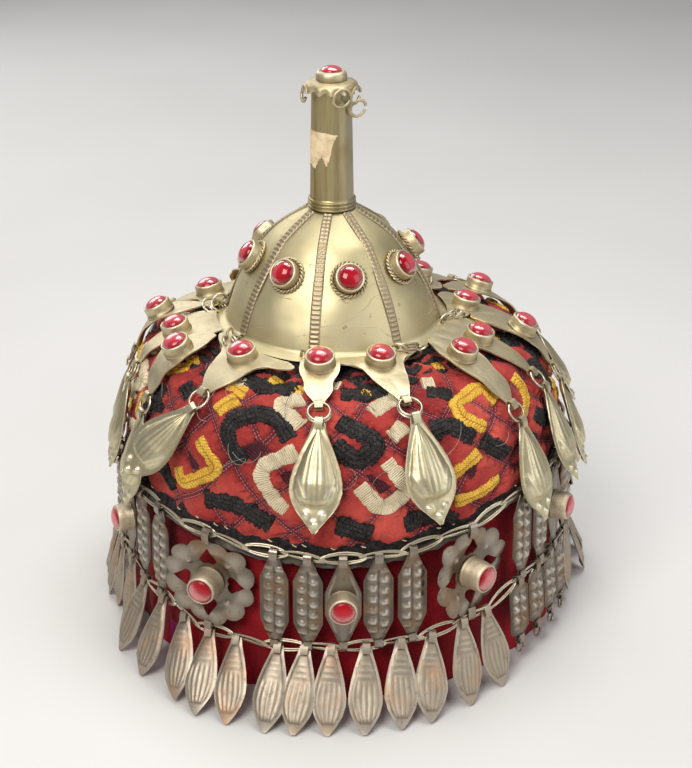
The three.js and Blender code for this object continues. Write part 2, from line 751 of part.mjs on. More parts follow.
function standPanel(geometry, azimuth) {
  const { high, low, up, across, out } = panelFrame(azimuth);
  const middle = high.add(low).multiplyScalar(0.5).addScaledVector(out, -PANEL_THICKNESS / 2);
  return stood(geometry, middle, across, up, out);
}

function octagonPanel(azimuth, halfWidth, shoulder, fused) {
  const { low, high } = panelEnds(panelFrame(azimuth).span, fused);
  const points = mirrored([
    [STRAP_HALF_WIDTH, high],
    [halfWidth, shoulder],
    [halfWidth, -shoulder],
    [STRAP_HALF_WIDTH, low],
  ]);
  return flatPiece(points, PANEL_THICKNESS);
}

function makeLozenges() {
  lozengeAzimuths.forEach((azimuth, index) => {
    const panel = octagonPanel(azimuth, LOZENGE_HALF_WIDTH, LOZENGE_SHOULDER, false);
    const cup = stoneInCup(LOZENGE_CUP_RADIUS, LOZENGE_CUP_HEIGHT, -PANEL_THICKNESS / 2);
    const piece = standPanel(joined([panel, cup]), azimuth);
    addPiece(`stone_lozenge_${index + 1}`, piece, darkSilver);
  });
}

function makeRosettes() {
  const corner = (radius, degrees) => {
    const turn = degToRad(degrees);
    return [radius * Math.cos(turn), radius * Math.sin(turn)];
  };
  rosetteAzimuths.forEach((azimuth, index) => {
    const { low, high } = panelEnds(panelFrame(azimuth).span, false);
    const points = [];
    for (let step = 0; step < 2 * ROSETTE_PETALS; step += 1) {
      const degrees = 90 - (step * 180) / ROSETTE_PETALS;
      const nearStrap = (step + 1) % ROSETTE_PETALS === 0 || (step - 1) % ROSETTE_PETALS === 0;
      const petal = nearStrap ? ROSETTE_NEAR_STRAP : 1;
      if (step === 0) points.push([-STRAP_HALF_WIDTH, high], [STRAP_HALF_WIDTH, high]);
      else if (step === ROSETTE_PETALS) points.push([STRAP_HALF_WIDTH, low], [-STRAP_HALF_WIDTH, low]);
      else points.push(corner(ROSETTE_RADIUS * (step % 2 === 0 ? ROSETTE_NOTCH : petal), degrees));
    }
    const holes = [0, 90, 180, 270].map((degrees) => [
      corner(ROSETTE_HOLE_FROM * ROSETTE_RADIUS, degrees),
      corner(ROSETTE_HOLE_TO * ROSETTE_RADIUS, degrees - ROSETTE_HOLE_TURN),
      corner(ROSETTE_HOLE_TO * ROSETTE_RADIUS, degrees + ROSETTE_HOLE_TURN),
    ]);
    const disc = flatPiece(points, PANEL_THICKNESS, holes);
    const cup = stoneInCup(ROSETTE_CUP_RADIUS, ROSETTE_CUP_HEIGHT, -PANEL_THICKNESS / 2);
    addPiece(`rosette_${index + 1}`, standPanel(joined([disc, cup]), azimuth), darkSilver);
  });
}

// Two ribbed plates on each side of a lozenge
function ribbedOffsets() {
  const toDegrees = THREE.MathUtils.radToDeg(1 / UPPER_CHAIN_RADIUS);
  const first = (LOZENGE_HALF_WIDTH + RIBBED_HALF_WIDTH + 2 * GAP) * toDegrees;
  const second = first + (2 * RIBBED_HALF_WIDTH + RIBBED_SPACE) * toDegrees;
  return [-second, -first, first, second];
}

function makeUpperChain() {
  const offsets = ribbedOffsets();
  const azimuths = lozengeAzimuths.flatMap((middle) => offsets.map((offset) => middle + offset));
  const panels = [...azimuths, ...extraRibbedAzimuths].map((azimuth) => {
    return standPanel(octagonPanel(azimuth, RIBBED_HALF_WIDTH, RIBBED_SHOULDER, true), azimuth);
  });
  const chain = chainRing(upperChainPoint, UPPER_CHAIN_RADIUS, 0);
  addPiece('upper_chain', joined([chain, ...panels]), darkSilver);
}

// Long drop that hangs from the lower chain; its tip lies on the table where the chain is low
function fringeDrop(azimuth) {
  const top = lowerChainPoint(azimuth);
  const fall = Math.min(top.z - FRINGE_TIP_HEIGHT, FRINGE_MOST_FALL * FRINGE_DROP_LENGTH);
  const reach = Math.sqrt(FRINGE_DROP_LENGTH ** 2 - fall ** 2);
  const tip = polar(LOWER_CHAIN_RADIUS + reach, azimuth, top.z - fall);
  const up = top.clone().sub(tip).normalize();
  const across = polar(1, azimuth + 90, 0);
  const out = across.clone().cross(up);
  const points = mirrored(fringeDropOutline.map((row) => [
    row.width * FRINGE_DROP_HALF_WIDTH,
    -row.along * FRINGE_DROP_LENGTH,
  ]));
  const leaf = flatPiece(points, PANEL_THICKNESS).translate(0, 0, -PANEL_THICKNESS / 2);
  return stood(leaf, top, across, up, out);
}

function makeLowerChain() {
  const step = (BACK_DROPS_TO - BACK_DROPS_FROM) / (BACK_DROPS - 1);
  const back = Array.from({ length: BACK_DROPS }, (_, index) => BACK_DROPS_FROM + index * step);
  const drops = [...frontDropAzimuths, ...sidePlateAzimuths, ...back].map(fringeDrop);
  const chain = chainRing(lowerChainPoint, LOWER_CHAIN_RADIUS, 180 / CHAIN_WIRE_SIDES);
  addPiece('lower_chain', joined([chain, ...drops]), brightSilver);
}

makeCap();
makeRimRoll();
makeBand();
makeDome();
makeDomeStones();
makeFinial();
makePlates();
makeLozenges();
makeRosettes();
makeUpperChain();
makeLowerChain();

// The origin is the middle of the hat's footprint, on the table
const bounds = new THREE.Box3().setFromObject(hat, true);
const middle = bounds.getCenter(new THREE.Vector3());
hat.position.set(-middle.x, -middle.y, -bounds.min.z);

export default hat;
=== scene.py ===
"""Looks of a ceremonial wedding hat: embroidered quilted cap, metal dome and finial, stone-set plates
with teardrops, and a chained fringe. Lengths are millimetres here and become metres in each mesh.
Azimuth 0 is the front (-Y) and grows towards +X."""

import math

import bpy
import numpy as np
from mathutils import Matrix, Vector


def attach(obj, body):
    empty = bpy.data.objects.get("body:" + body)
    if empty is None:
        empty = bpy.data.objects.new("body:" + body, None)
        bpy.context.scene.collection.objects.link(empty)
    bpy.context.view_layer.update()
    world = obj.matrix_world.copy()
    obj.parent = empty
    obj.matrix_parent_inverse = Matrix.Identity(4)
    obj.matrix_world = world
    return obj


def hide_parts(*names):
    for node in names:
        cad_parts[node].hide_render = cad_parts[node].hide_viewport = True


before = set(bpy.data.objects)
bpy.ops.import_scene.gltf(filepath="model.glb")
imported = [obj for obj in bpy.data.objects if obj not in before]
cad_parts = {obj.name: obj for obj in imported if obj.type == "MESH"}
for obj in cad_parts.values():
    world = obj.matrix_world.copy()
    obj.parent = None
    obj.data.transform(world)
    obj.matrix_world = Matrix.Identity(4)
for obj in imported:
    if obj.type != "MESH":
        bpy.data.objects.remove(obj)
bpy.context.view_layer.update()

# The part's own axis stands here in the shared frame
AXIS = np.array([-1.079, -0.191, 0.0])

# Sizes of the solids, as in the CAD source
GAP = 0.3
CAP_RADIUS, CAP_WALL, CAP_RIM, CAP_RISE, CAP_LEAN = 95.0, 3.0, 66.0, 62.0, 4.7
ROLL_RADIUS = 2.5
DOME_RADIUS, DOME_HEIGHT, DOME_WALL, DOME_FLANGE = 45.5, 48.0, 1.2, 4.5
DOME_FOOT = CAP_RIM + 0.985 * CAP_RISE + GAP
DOME_TOP = DOME_FOOT + DOME_WALL + DOME_HEIGHT
RIBS, RIB_AZIMUTH, DOME_STONE_AZIMUTH, DOME_STONE_RISE = 8, -9.0, 12.0, 29.3
PANEL_TURN = 360 / RIBS
TUBE_TOP, TUBE_FOOT, TUBE_LENGTH = 8.1, 9.0, 44.2
COLLAR_HEIGHT = 5.0
BARREL_FOOT = DOME_TOP + GAP + COLLAR_HEIGHT
SEAT = BARREL_FOOT + TUBE_LENGTH + GAP
WING_TONGUE, WING_LIFT, TIP_LIFT = 22.0, 3.0, 0.8
LEAF_HALF_WIDTH, PLATE = 7.8, 0.9
STRAP, DROP_LIFT = 8.5, 2.4
DROP_LENGTH, DROP_HALF_WIDTH, DROP_STANDOFF = 42.0, 10.2, 8.0
UPPER_RADIUS, UPPER_RISE, LOWER_RADIUS = CAP_RADIUS + 3.2, 1.6, CAP_RADIUS + 4.8
CHAIN_LINKS = 40
FRINGE_LENGTH, FRINGE_HALF_WIDTH, FRINGE_TIP = 34.5, 6.84, 0.7
PANEL_GAP = 1.7
PANEL_HALF, LOZENGE_HALF = 5.9, 7.2

# Sizes of what only the scene shows
RIB_HALF_WIDTH, BAND_WALL, BAND_TUCK = 2.15, 1.6, 6
STONE_RADIUS, CUP_LIP, PLATE_CUP_RADIUS, DOME_CUP_RADIUS, TWIST_RADIUS = 5.1, 5.6, 6.15, 6.2, 0.46
ROSETTE_RADIUS, PETAL_RADIUS, HEART_REACH, HEART_LENGTH, DOT_REACH = 18, 4.85, 10.1, 5.2, 11.6
RING_HOLE, RING_WIRE, LOOP_WIRE, CHAIN_WIRE = 0.9, 0.5, 0.62, 0.37
SIDE_PLATE_LENGTH, SIDE_RING_FALL, SIDE_RING_RADIUS = 29, 32.4, 2.3
BUMP_PITCH, BUMP_COLUMN = 5.0, 2.3
WEAVE, BAND_WEAVE, CLOTH_PER_DEGREE = 0.7, 0.8, 1.6
# A stamped sheet's thickness, and the rows and depth from which its back is coarser and deeper
SHEET, LARGE_SHEET, BACK_DEPTH = 0.45, 24, 1.2
PLAIN_RELIEF, EDGE_RELIEF = 0.5, 0.8

TURN, TINY = 2 * math.pi, 1e-12
UP = np.array([0, 0, 1.0])

# Camera and lights, in metres, millimetres of lens and degrees
CAMERA_PLACE, CAMERA_DOWN, CAMERA_LENS = (0, -0.585, 0.378), 25.8, 69.75
LIGHT_TARGET = (0, 0, 0.1)

# Outlines from the middle to the edge, as shares of the radius and of the height
CAP_OUTLINE = [(0, 1.008), (0.22, 1), (0.47, 0.985), (0.6, 0.96), (0.74, 0.915), (0.84, 0.85), (0.895, 0.76),
               (0.935, 0.64), (0.967, 0.46), (0.99, 0.2), (1, 0)]
DOME_OUTLINE = [(0.225, 1), (0.46, 0.855), (0.6, 0.73), (0.81, 0.445), (0.915, 0.25), (1, 0.03)]
# By azimuth: how far the rim lifts, as a share of the cap's rise, and how high the lower chain hangs,
# as a share of a long drop
RIM_LIFT = [(-180, 0.10), (-90, 0.10), (-64, 0.08), (-35, 0.045), (-20, 0.016), (0, 0), (13, 0.032),
            (28, 0.10), (47, 0.21), (66, 0.225), (100, 0.15)]
LOWER_HEIGHT = [(-180, 0.80), (-120, 0.86), (-90, 0.98), (-66, 1.01), (-50, 0.88), (-34, 0.73), (-20, 0.76),
                (0, 0.81), (20, 0.86), (34, 0.97), (50, 1.20), (66, 1.20), (100, 0.92)]

# Winged plates: azimuth, radius, turn, half span, reach behind, swing and standoff of the teardrop
WINGS = [(21, 53.5, 0, 19, 4.9, 2, 1), (68, 64, 0, 15.5, 15.4, -1, 1.4), (98, 57, 0, 14.5, 8.4, 1, 1.3),
         (138, 57, 0, 18.5, 8.4, 2, 1), (188, 57, 0, 18.5, 8.4, -2, 1), (247, 58, 0, 17, 9.4, 1, 1),
         (283, 66, 0, 13.5, 17.4, 0, 1), (322, 57, -8, 22.8, 5.9, -12, 1.75)]
# Leaf plates: azimuth, radius, turn, reach in front and behind, swing and standoff of the teardrop
LEAVES = [(-4.5, 55, 0, 20, 5.5, 0, 1), (51, 66, 0, 24, 15, 0, 1.4), (85, 77, 0, 18, 20, -1, 1.5),
          (116, 70, 0, 22, 16, 2, 1), (163, 66, 0, 24, 15, 0, 1), (214, 66, 0, 24, 15, 1, 1),
          (265, 73, 0, 20, 18, 0, 1), (299, 70, 0, 22, 16, -1, 1)]
# Places at the middle and at the edge, behind the stone or along the tongue, and half width
WING_ROWS = [(-1.0, -1.0, 0.80), (-0.7, -0.82, 0.92), (-0.4, -0.62, 1.0), (-0.1, -0.30, 1.0),
             (0.05, 0.0, 0.80), (0.14, 0.03, 0.60), (0.24, 0.14, 0.46), (0.36, 0.32, 0.39), (0.5, 0.5, 0.34),
             (0.72, 0.72, 0.25), (0.92, 0.92, 0.14), (1.0, 1.0, 0.10)]
LEAF_ROWS = [(-1.0, 0.30), (-0.7, 0.66), (-0.4, 0.90), (0.0, 1.0), (0.25, 0.95), (0.42, 0.74), (0.55, 0.66),
             (0.68, 0.66), (0.82, 0.48), (0.94, 0.26), (1.0, 0.22)]

# Loops at the finial's edge: azimuth, fall and radius
FINIAL_LOOPS = [(58, 0, 3.4), (66, 5.5, 3.3), (22, 0, 3.6), (-75, 0, 3.2), (170, 0, 3.3)]
# Lower edge of the paper patch, by azimuth
PATCH_EDGE = [(-96, 0), (-70, 0.06), (-52, 0), (-40, 0.18), (-26, 0.34), (-14, 0.12), (-4, 0.36), (4, 0.70),
              (16, 0.92)]
# Half widths down the drops, as shares, and the half width of the teardrop's cup in millimetres
DROP_WIDTHS = [(0, 0.20), (0.05, 0.24), (0.14, 0.40), (0.28, 0.66), (0.42, 0.88), (0.54, 0.985), (0.63, 1),
               (0.72, 0.90), (0.80, 0.72), (0.90, 0.38), (0.97, 0.12), (1, 0.02)]
DROP_CUP_END = 0.76
DROP_CUP = [(0, 0.5), (0.08, 0.9), (0.3, 5.2), (0.5, 7.9), (0.61, 8.3), (0.68, 7.5), (0.725, 5.6),
            (0.75, 3.2), (DROP_CUP_END, 0.01)]
FRINGE_WIDTHS = [(0, 0.30), (0.1, 0.42), (0.25, 0.66), (0.4, 0.86), (0.55, 0.99), (0.65, 1), (0.78, 0.82),
                 (0.9, 0.48), (1, 0.10)]
# Radius and height up the cups of the lozenges and rosettes
LOZENGE_CUP = [(6.3, 0.2), (6.3, 0.9), (6.0, 1.1), (6.1, 1.7), (5.9, 2.0), (5.75, 4.6), (5.6, 6.3),
               (5.3, 6.9), (4.8, 6.9), (4.7, 6.4)]
ROSETTE_CUP = [(6.8, -0.3), (6.8, 0.7), (6.5, 0.9), (6.2, 4.5), (6.0, 7.2), (5.8, 8.2), (5.5, 8.6),
               (5.1, 8.5), (5.0, 7.7)]

# Azimuths of what hangs in the fringe, and how far its drops swing
LOZENGES = [0, 63, 133, -133, -65]
ROSETTES = [30.8, 98, 180, -99, -33]
ROSETTE_TURNS = {30.8: 14, -33: 14}
EXTRA_RIBBED = [156.5, -156.5]
FRONT_DROPS = [-48, -40.5, -32.8, -25.3, -15, -8.7, -2.7, 5.2, 13.2, 20.6, 28.7, 35.2]
FRONT_SWINGS = [8, 22, 15, 11, 1, -2, -1, -4, -7, -12, -6, 4]
SIDE_PLATES = [46, 53, 60, 67]
BACK_DROPS = list(np.linspace(76, 304, 30))

# Embroidery: strokes as (azimuth, arc length from the crown), in the order in which they were read
BLACK = [
    [(-25.3, 102.7), (-30.6, 92.5), (-28.9, 85.3), (-22.1, 80.6), (-16.4, 81.9), (-12.5, 90.4)],
    [(-36.1, 123.4), (-26.8, 120), (-17, 126.2)], [(-58, 97.9), (-60.1, 85.9)], [(-50.9, 79.8), (-45.7, 83)],
    [(0.3, 81.1), (5.2, 85.6), (10.4, 91.7), (4.1, 97.9), (-1.7, 90.5)],
    [(24.3, 89.8), (30.2, 88.1), (35.8, 97.6)], [(38.5, 99.6), (45.2, 111.8)], [(-1.7, 122.4), (6.8, 128.6)],
    [(14.4, 125.8), (21.2, 124.3), (27.8, 132)], [(-33.9, 65), (-22, 67.5), (-11.5, 65.2)],
    [(1.8, 68.1), (12, 68.5), (21.4, 65.6)], [(30, 71.6), (37, 77.1)], [(-62.9, 94.3), (-64.9, 111.7)],
    [(-52, 118), (-46, 125)], [(52, 108), (58, 116)],
]
YELLOW = [
    [(-38.8, 97.8), (-31.9, 108.1), (-43.1, 120.9), (-45.3, 114)], [(-28.9, 72.8), (-37, 70.5), (-40.2, 71)],
    [(-35.1, 85.5), (-33.1, 80.2), (-30.5, 76.2)], [(-63, 88.5), (-65.8, 82.6), (-55.6, 71.7)],
    [(-68.9, 108.6), (-66.8, 96.1)], [(48.4, 87.8), (46.3, 78.6), (35.3, 80.9), (34.5, 87.8), (40.6, 95.3)],
    [(60.9, 82.7), (62, 89.5), (55.6, 99.5)], [(27.4, 109.4), (36.7, 104.1)],
    [(41.5, 122.1), (31.9, 123.2), (27.7, 122.5)],
]
CREAM = [
    [(-10.7, 93.9), (-19.9, 101.8), (-20, 106.6), (-17.1, 114.6), (-13.4, 118.7)],
    [(-9.8, 70), (-17.4, 75.1), (-9.6, 84)], [(9.6, 78.3), (19.5, 71.5)], [(13.4, 89.4), (18.2, 84.8)],
    [(3.9, 107), (9.2, 118.3), (16.5, 111.6), (11, 98)],
]
MAROON = [[(-40.1, 103.6), (-38.9, 112)], [(-13.2, 101.8), (-10.7, 108.1)], [(8.1, 101.1), (11.3, 109.8)],
          [(32.8, 107.6), (35.9, 116.3)], [(-26, 93), (-20, 98)]]
# Shapes of the hooks where the photograph shows none, in millimetres round and up
HOOKS = [
    [(6, -5), (-5, -7), (-7, 3), (1, 7), (6, 3)], [(-8, 5), (0, -7), (8, 5)], [(7, 7), (-6, 0), (7, -7)],
    [(-7, -5), (5, -7), (7, 3), (-1, 7), (-5, 1)], [(-8, -2), (0, 3), (8, -1)],
]
# The hooks' rows, and the front between two azimuths where the strokes above stand instead
HOOK_ARCS, READ_FROM, READ_TO = (80, 93, 106, 119), -66, 64
# Black rows round the dome's foot: arc length, length in degrees and start
FOOT_ROWS = [(57.5, 15, 0), (63.5, 13, 5), (70.5, 17, 3)]
FOOT_BLOCKS, FOOT_BLOCK_ARC, FOOT_BLOCK_STEP = 32, 60.5, 6
# Starts of the loose threads, as azimuth and arc length
THREAD_ENDS = [(-38, 74), (-38.5, 74), (-37.5, 74.5), (-39, 75), (-24, 100), (-24.5, 100), (-20, 96),
               (-37, 90), (-14, 82), (-48, 104), (2, 100), (8, 112), (14, 93), (20, 108), (26, 112),
               (33, 90), (41, 104), (-56, 90), (-30, 78), (6, 77), (48, 96), (-8, 122), (100, 90),
               (150, 100), (200, 95), (250, 100), (300, 92)]
# Stitch lines: diamonds round the cap, their height along the arc, and where the two sets start
LATTICE_ROUND, LATTICE_HEIGHT, LATTICE_P, LATTICE_Q = 22, 26.0, 0.24, 0.28


# Numbers and points


def smooth(t):
    t = np.clip(t, 0, 1)
    return t * t * (3 - 2 * t)


def eased(value, start, end):
    """From 0 where the value is at start to 1 where it is at end."""
    return smooth((value - start) / (end - start))


def crest(turns):
    """Wave between 0 and 1 with its crests at whole numbers."""
    return 0.5 + 0.5 * np.cos(TURN * turns)


def spread(*values):
    return np.stack(np.broadcast_arrays(*values), -1).astype(float)


def lengths(path):
    """Length run along a path at each of its points."""
    return np.concatenate([[0], np.cumsum(np.linalg.norm(np.diff(path, axis=0), axis=1))])


def around(table, azimuth):
    """Value of a table round the hat, eased from row to row."""
    azimuth = np.asarray(azimuth, float)
    start = table[0][0]
    xs = np.array([row[0] for row in table] + [start + 360], float)
    values = np.array([row[1] for row in table] + [table[0][1]], float)
    place = (azimuth - start) % 360 + start
    low = np.clip(np.searchsorted(xs, place, side="right") - 1, 0, len(xs) - 2)
    share = smooth((place - xs[low]) / (xs[low + 1] - xs[low]))
    return values[low] + (values[low + 1] - values[low]) * share


def spline(rows, count):
    """Points evenly spread by row number on a Catmull-Rom curve through the rows."""
    rows = np.asarray(rows, float)
    padded = np.vstack([2 * rows[0] - rows[1], rows, 2 * rows[-1] - rows[-2]])
    t = np.linspace(0, len(rows) - 1, count)
    k = np.minimum(t.astype(int), len(rows) - 2)
    f = (t - k)[:, None]
    a, b, c, d = padded[k], padded[k + 1], padded[k + 2], padded[k + 3]
    return 0.5 * (2 * b + (c - a) * f + (2 * a - 5 * b + 4 * c - d) * f**2 + (3 * b - a - 3 * c + d) * f**3)


def polar(radius, azimuth, height):
    turn = np.radians(np.asarray(azimuth, float))
    return spread(radius * np.sin(turn), -radius * np.cos(turn), height)


def azimuth_of(point):
    return math.degrees(math.atan2(point[0], -point[1]))


def unit(vector):
    vector = np.asarray(vector, float)
    return vector / np.linalg.norm(vector, axis=-1, keepdims=True)


def waves(points, size, seed, count=9):
    """Soft bumps between -1 and 1 of about the given size, the same in each run."""
    rng = np.random.default_rng(seed)
    directions = unit(rng.normal(size=(count, 3))) * (TURN / size) * rng.uniform(0.6, 1.5, (count, 1))
    phases = rng.uniform(0, TURN, count)
    return np.sin(np.asarray(points) @ directions.T + phases).sum(-1) / math.sqrt(count)


outline = np.array(CAP_OUTLINE) * [CAP_RADIUS, CAP_RISE] + [0, CAP_RIM]
ARCS = lengths(outline)
fine = spline(np.column_stack([outline, ARCS]), 400)
slope = unit(np.gradient(fine[:, :2], axis=0))
RIM_ARC = ARCS[-1]


def cap_radius(arc):
    return np.interp(arc, fine[:, 2], fine[:, 0])


def arc_at(radius):
    return float(np.interp(radius, outline[:, 0], ARCS))


def above_cap(azimuth, arc, lift=0.0):
    """Point above the cap's surface; the crown leans and the rim is higher on one side."""
    azimuth, arc, lift = np.broadcast_arrays(*(np.asarray(v, float) for v in (azimuth, arc, lift)))
    out_radius = -np.interp(arc, fine[:, 2], slope[:, 1])
    out_height = np.interp(arc, fine[:, 2], slope[:, 0])
    radius = cap_radius(arc) + lift * out_radius
    height = np.interp(arc, fine[:, 2], fine[:, 1]) + lift * out_height
    point = polar(radius, azimuth, height)
    share = np.clip((height - CAP_RIM) / CAP_RISE, 0, 1)
    point[..., 0] -= CAP_LEAN * share**4
    point[..., 2] += CAP_RISE * around(RIM_LIFT, azimuth) * (1 - share) ** 2
    return point


def lattice(azimuth, arc):
    """Where a point lies between the two sets of stitch lines, which run where either is whole."""
    along, across = np.asarray(azimuth) * LATTICE_ROUND / 360, np.asarray(arc) / LATTICE_HEIGHT
    turn = np.radians(azimuth)
    sway = 0.10 * np.sin(turn * 5 + arc / 17) + 0.06 * np.sin(turn * 11 - arc / 9)
    return along + across - LATTICE_P + sway, along - across + 1 - LATTICE_Q - sway


def quilt(azimuth, arc):
    """Height of the padded cloth against the plain surface."""
    p, q = lattice(azimuth, arc)
    lines = np.minimum(np.abs(p - np.round(p)), np.abs(q - np.round(q))) * LATTICE_HEIGHT * 0.7
    point = above_cap(azimuth, arc)
    puff = 1.8 * (1 - np.exp(-((lines / 2.8) ** 2)))
    fold = 0.34 * waves(point, 17, 3) + 0.24 * waves(point, 7.5, 4)
    return (puff - 1.55 + fold) * eased(arc, RIM_ARC, RIM_ARC - 6)


# Meshes


class Form:
    """Gathers the quads of one piece."""

    def __init__(self):
        self.parts, self.count = [], 0

    def add(self, points, faces, uv=None, relief=None, slot=0):
        points = np.asarray(points, float).reshape(-1, 3)
        uv = np.zeros((len(points), 2)) if uv is None else np.asarray(uv, float).reshape(-1, 2)
        relief = np.full(len(points), PLAIN_RELIEF) if relief is None else np.asarray(relief, float).ravel()
        faces = np.asarray(faces) + self.count
        self.parts.append((points, faces, uv, relief, np.full(len(faces), slot)))
        self.count += len(points)

    def grid(self, points, uv=None, relief=None, slot=0, flip=False):
        """Points in rows and columns; a closed ring repeats its first column."""
        index = np.arange(points.shape[0] * points.shape[1]).reshape(points.shape[:2])
        corners = [index[:-1, :-1], index[1:, :-1], index[1:, 1:], index[:-1, 1:]]
        self.add(points, np.stack([c.ravel() for c in corners[:: -1 if flip else 1]], -1), uv, relief, slot)

    def shell(self, points, thickness, uv=None, relief=None):
        """Thin sheet with its edge; its front looks out. A large sheet has a coarser back,
        set so far behind that it stays clear of the front's recesses."""
        shape = points.shape[:2]
        large = min(shape[0], 2 * shape[1]) > LARGE_SHEET
        normal = unit(np.cross(np.gradient(points, axis=0), np.gradient(points, axis=1)) + TINY)
        inward = [np.minimum(np.arange(n), n - 1 - np.arange(n)) for n in shape]
        share = np.clip(np.minimum(inward[0][:, None], inward[1][None, :]) / 4, 0, 1)
        back = points - normal * (thickness + share * (BACK_DEPTH if large else 0))[..., None]
        self.grid(points, uv, relief)
        kept = [np.unique(np.linspace(0, n - 1, n // 3 if large else n).astype(int)) for n in shape]
        self.grid(back[np.ix_(*kept)], flip=True)
        for near, far in ((points[0], back[0]), (back[-1], points[-1]), (back[:, 0], points[:, 0]),
                          (points[:, -1], back[:, -1])):
            self.grid(np.stack([near, far]), None, np.full((2, len(near)), EDGE_RELIEF))

    def turned(self, rows, sides, place, slot=0, relief=None, flip=False):
        """Rows of (radius, height) turned about the out direction of a place."""
        rows = np.asarray(rows, float)
        turn = np.linspace(0, TURN, sides + 1)
        uv = spread(turn[None, :] * rows[:, 0].max(), lengths(rows)[:, None])
        shade = None if relief is None else np.repeat(np.asarray(relief, float)[:, None], sides + 1, 1)
        points = spread(rows[:, :1] * np.cos(turn), rows[:, :1] * np.sin(turn), rows[:, 1:])
        self.grid(place(points), uv, shade, slot, flip)

    def wire(self, path, radius, sides=6, closed=False, up=(0, 0, 1)):
        """Round wire along a path; up is any direction that the path never takes."""
        path = np.asarray(path, float)
        if closed:
            tangent = unit(np.roll(path, -1, 0) - np.roll(path, 1, 0))
            path, tangent = (np.vstack([rows, rows[:1]]) for rows in (path, tangent))
        else:
            tangent = unit(np.gradient(path, axis=0))
        first = unit(np.cross(tangent, up))
        second = np.cross(tangent, first)
        turn = np.linspace(0, TURN, sides + 1)[None, :, None]
        ring = first[:, None] * np.cos(turn) + second[:, None] * np.sin(turn)
        radii = np.broadcast_to(radius, (len(path),))[:, None, None]
        self.grid(path[:, None] + ring * radii, spread(turn[..., 0], lengths(path)[:, None]))

    def made(self, name, materials, slot_name, replaces=()):
        """The finished object, riding on the hat."""
        points, faces, uvs, relief, slots = (np.concatenate(part) for part in zip(*self.parts))
        mesh = bpy.data.meshes.new(name)
        mesh.vertices.add(len(points))
        mesh.vertices.foreach_set("co", ((points + AXIS) / 1000).astype(np.float32).ravel())
        mesh.loops.add(faces.size)
        mesh.loops.foreach_set("vertex_index", faces.astype(np.int32).ravel())
        mesh.polygons.add(len(faces))
        mesh.polygons.foreach_set("loop_start", np.arange(0, faces.size, 4, dtype=np.int32))
        mesh.polygons.foreach_set("material_index", slots.astype(np.int32))
        write_uv(mesh, "UVMap", uvs[faces.ravel()])
        attribute = mesh.attributes.new("relief", "FLOAT", "POINT")
        attribute.data.foreach_set("value", relief.astype(np.float32))
        mesh.update(calc_edges=True)
        mesh.validate()
        mesh.shade_smooth()
        for material in materials:
            mesh.materials.append(material)
        piece = bpy.data.objects.new(name, mesh)
        bpy.context.scene.collection.objects.link(piece)
        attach(piece, "root")
        if replaces:
            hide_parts(*replaces)
        return piece


def write_uv(mesh, name, values):
    mesh.uv_layers.new(name=name).data.foreach_set("uv", values.astype(np.float32).ravel())


def placed(origin, across, up, out):
    """Function that takes local points (x across, y up, z out) to their place."""
    basis = np.stack([across, up, out])
    return lambda local: np.asarray(local, float) @ basis + origin


def tab(form, hook, across, up, out, width=3.2, radius=1.3, tail=3.0):
    """Strip folded round a wire at hook, with both ends down."""
    turn = np.linspace(0, np.pi, 9)
    ups = np.concatenate([[-tail, -tail / 2], radius * np.sin(turn), [-tail / 2, -tail]])
    outs = np.concatenate([[0.7 * radius, radius], radius * np.cos(turn), [-0.6 * radius, -0.3 * radius]])
    sides = np.linspace(-width / 2, width / 2, 3)
    form.shell(placed(hook, across, up, out)(spread(sides[None, :], ups[:, None], outs[:, None])), SHEET)


def loop_ring(form, centre, first, second, radius, wire, doubled=False, open_by=0.0):
    """Jump ring of one or two turns in the plane of two directions; open_by is half its gap's angle."""
    normal = np.cross(first, second)
    turn = np.linspace(open_by, TURN - open_by, 22) if open_by else np.linspace(0, TURN, 23)[:-1]
    circle = radius * (np.cos(turn)[:, None] * first + np.sin(turn)[:, None] * second)
    for k, offset in enumerate((-1.1, 1.0) if doubled else (0.0,)):
        form.wire(centre + circle * (1 - 0.06 * k) + offset * wire * normal, wire, 6, not open_by, normal)


# Materials


def operation(name):
    return lambda first, second=0.0: first.nodes.math(name, first, second)


class Value:
    """Output of a node; each sign or method on it adds a Math node to the same tree."""

    __add__, __sub__, __mul__, __truediv__ = map(operation, ("ADD", "SUBTRACT", "MULTIPLY", "DIVIDE"))
    __gt__, __lt__, __pow__, __abs__ = map(operation, ("GREATER_THAN", "LESS_THAN", "POWER", "ABSOLUTE"))
    sine, fraction, whole, nearest = map(operation, ("SINE", "FRACT", "FLOOR", "ROUND"))
    larger = operation("MAXIMUM")

    def __init__(self, nodes, socket):
        self.nodes, self.socket = nodes, socket


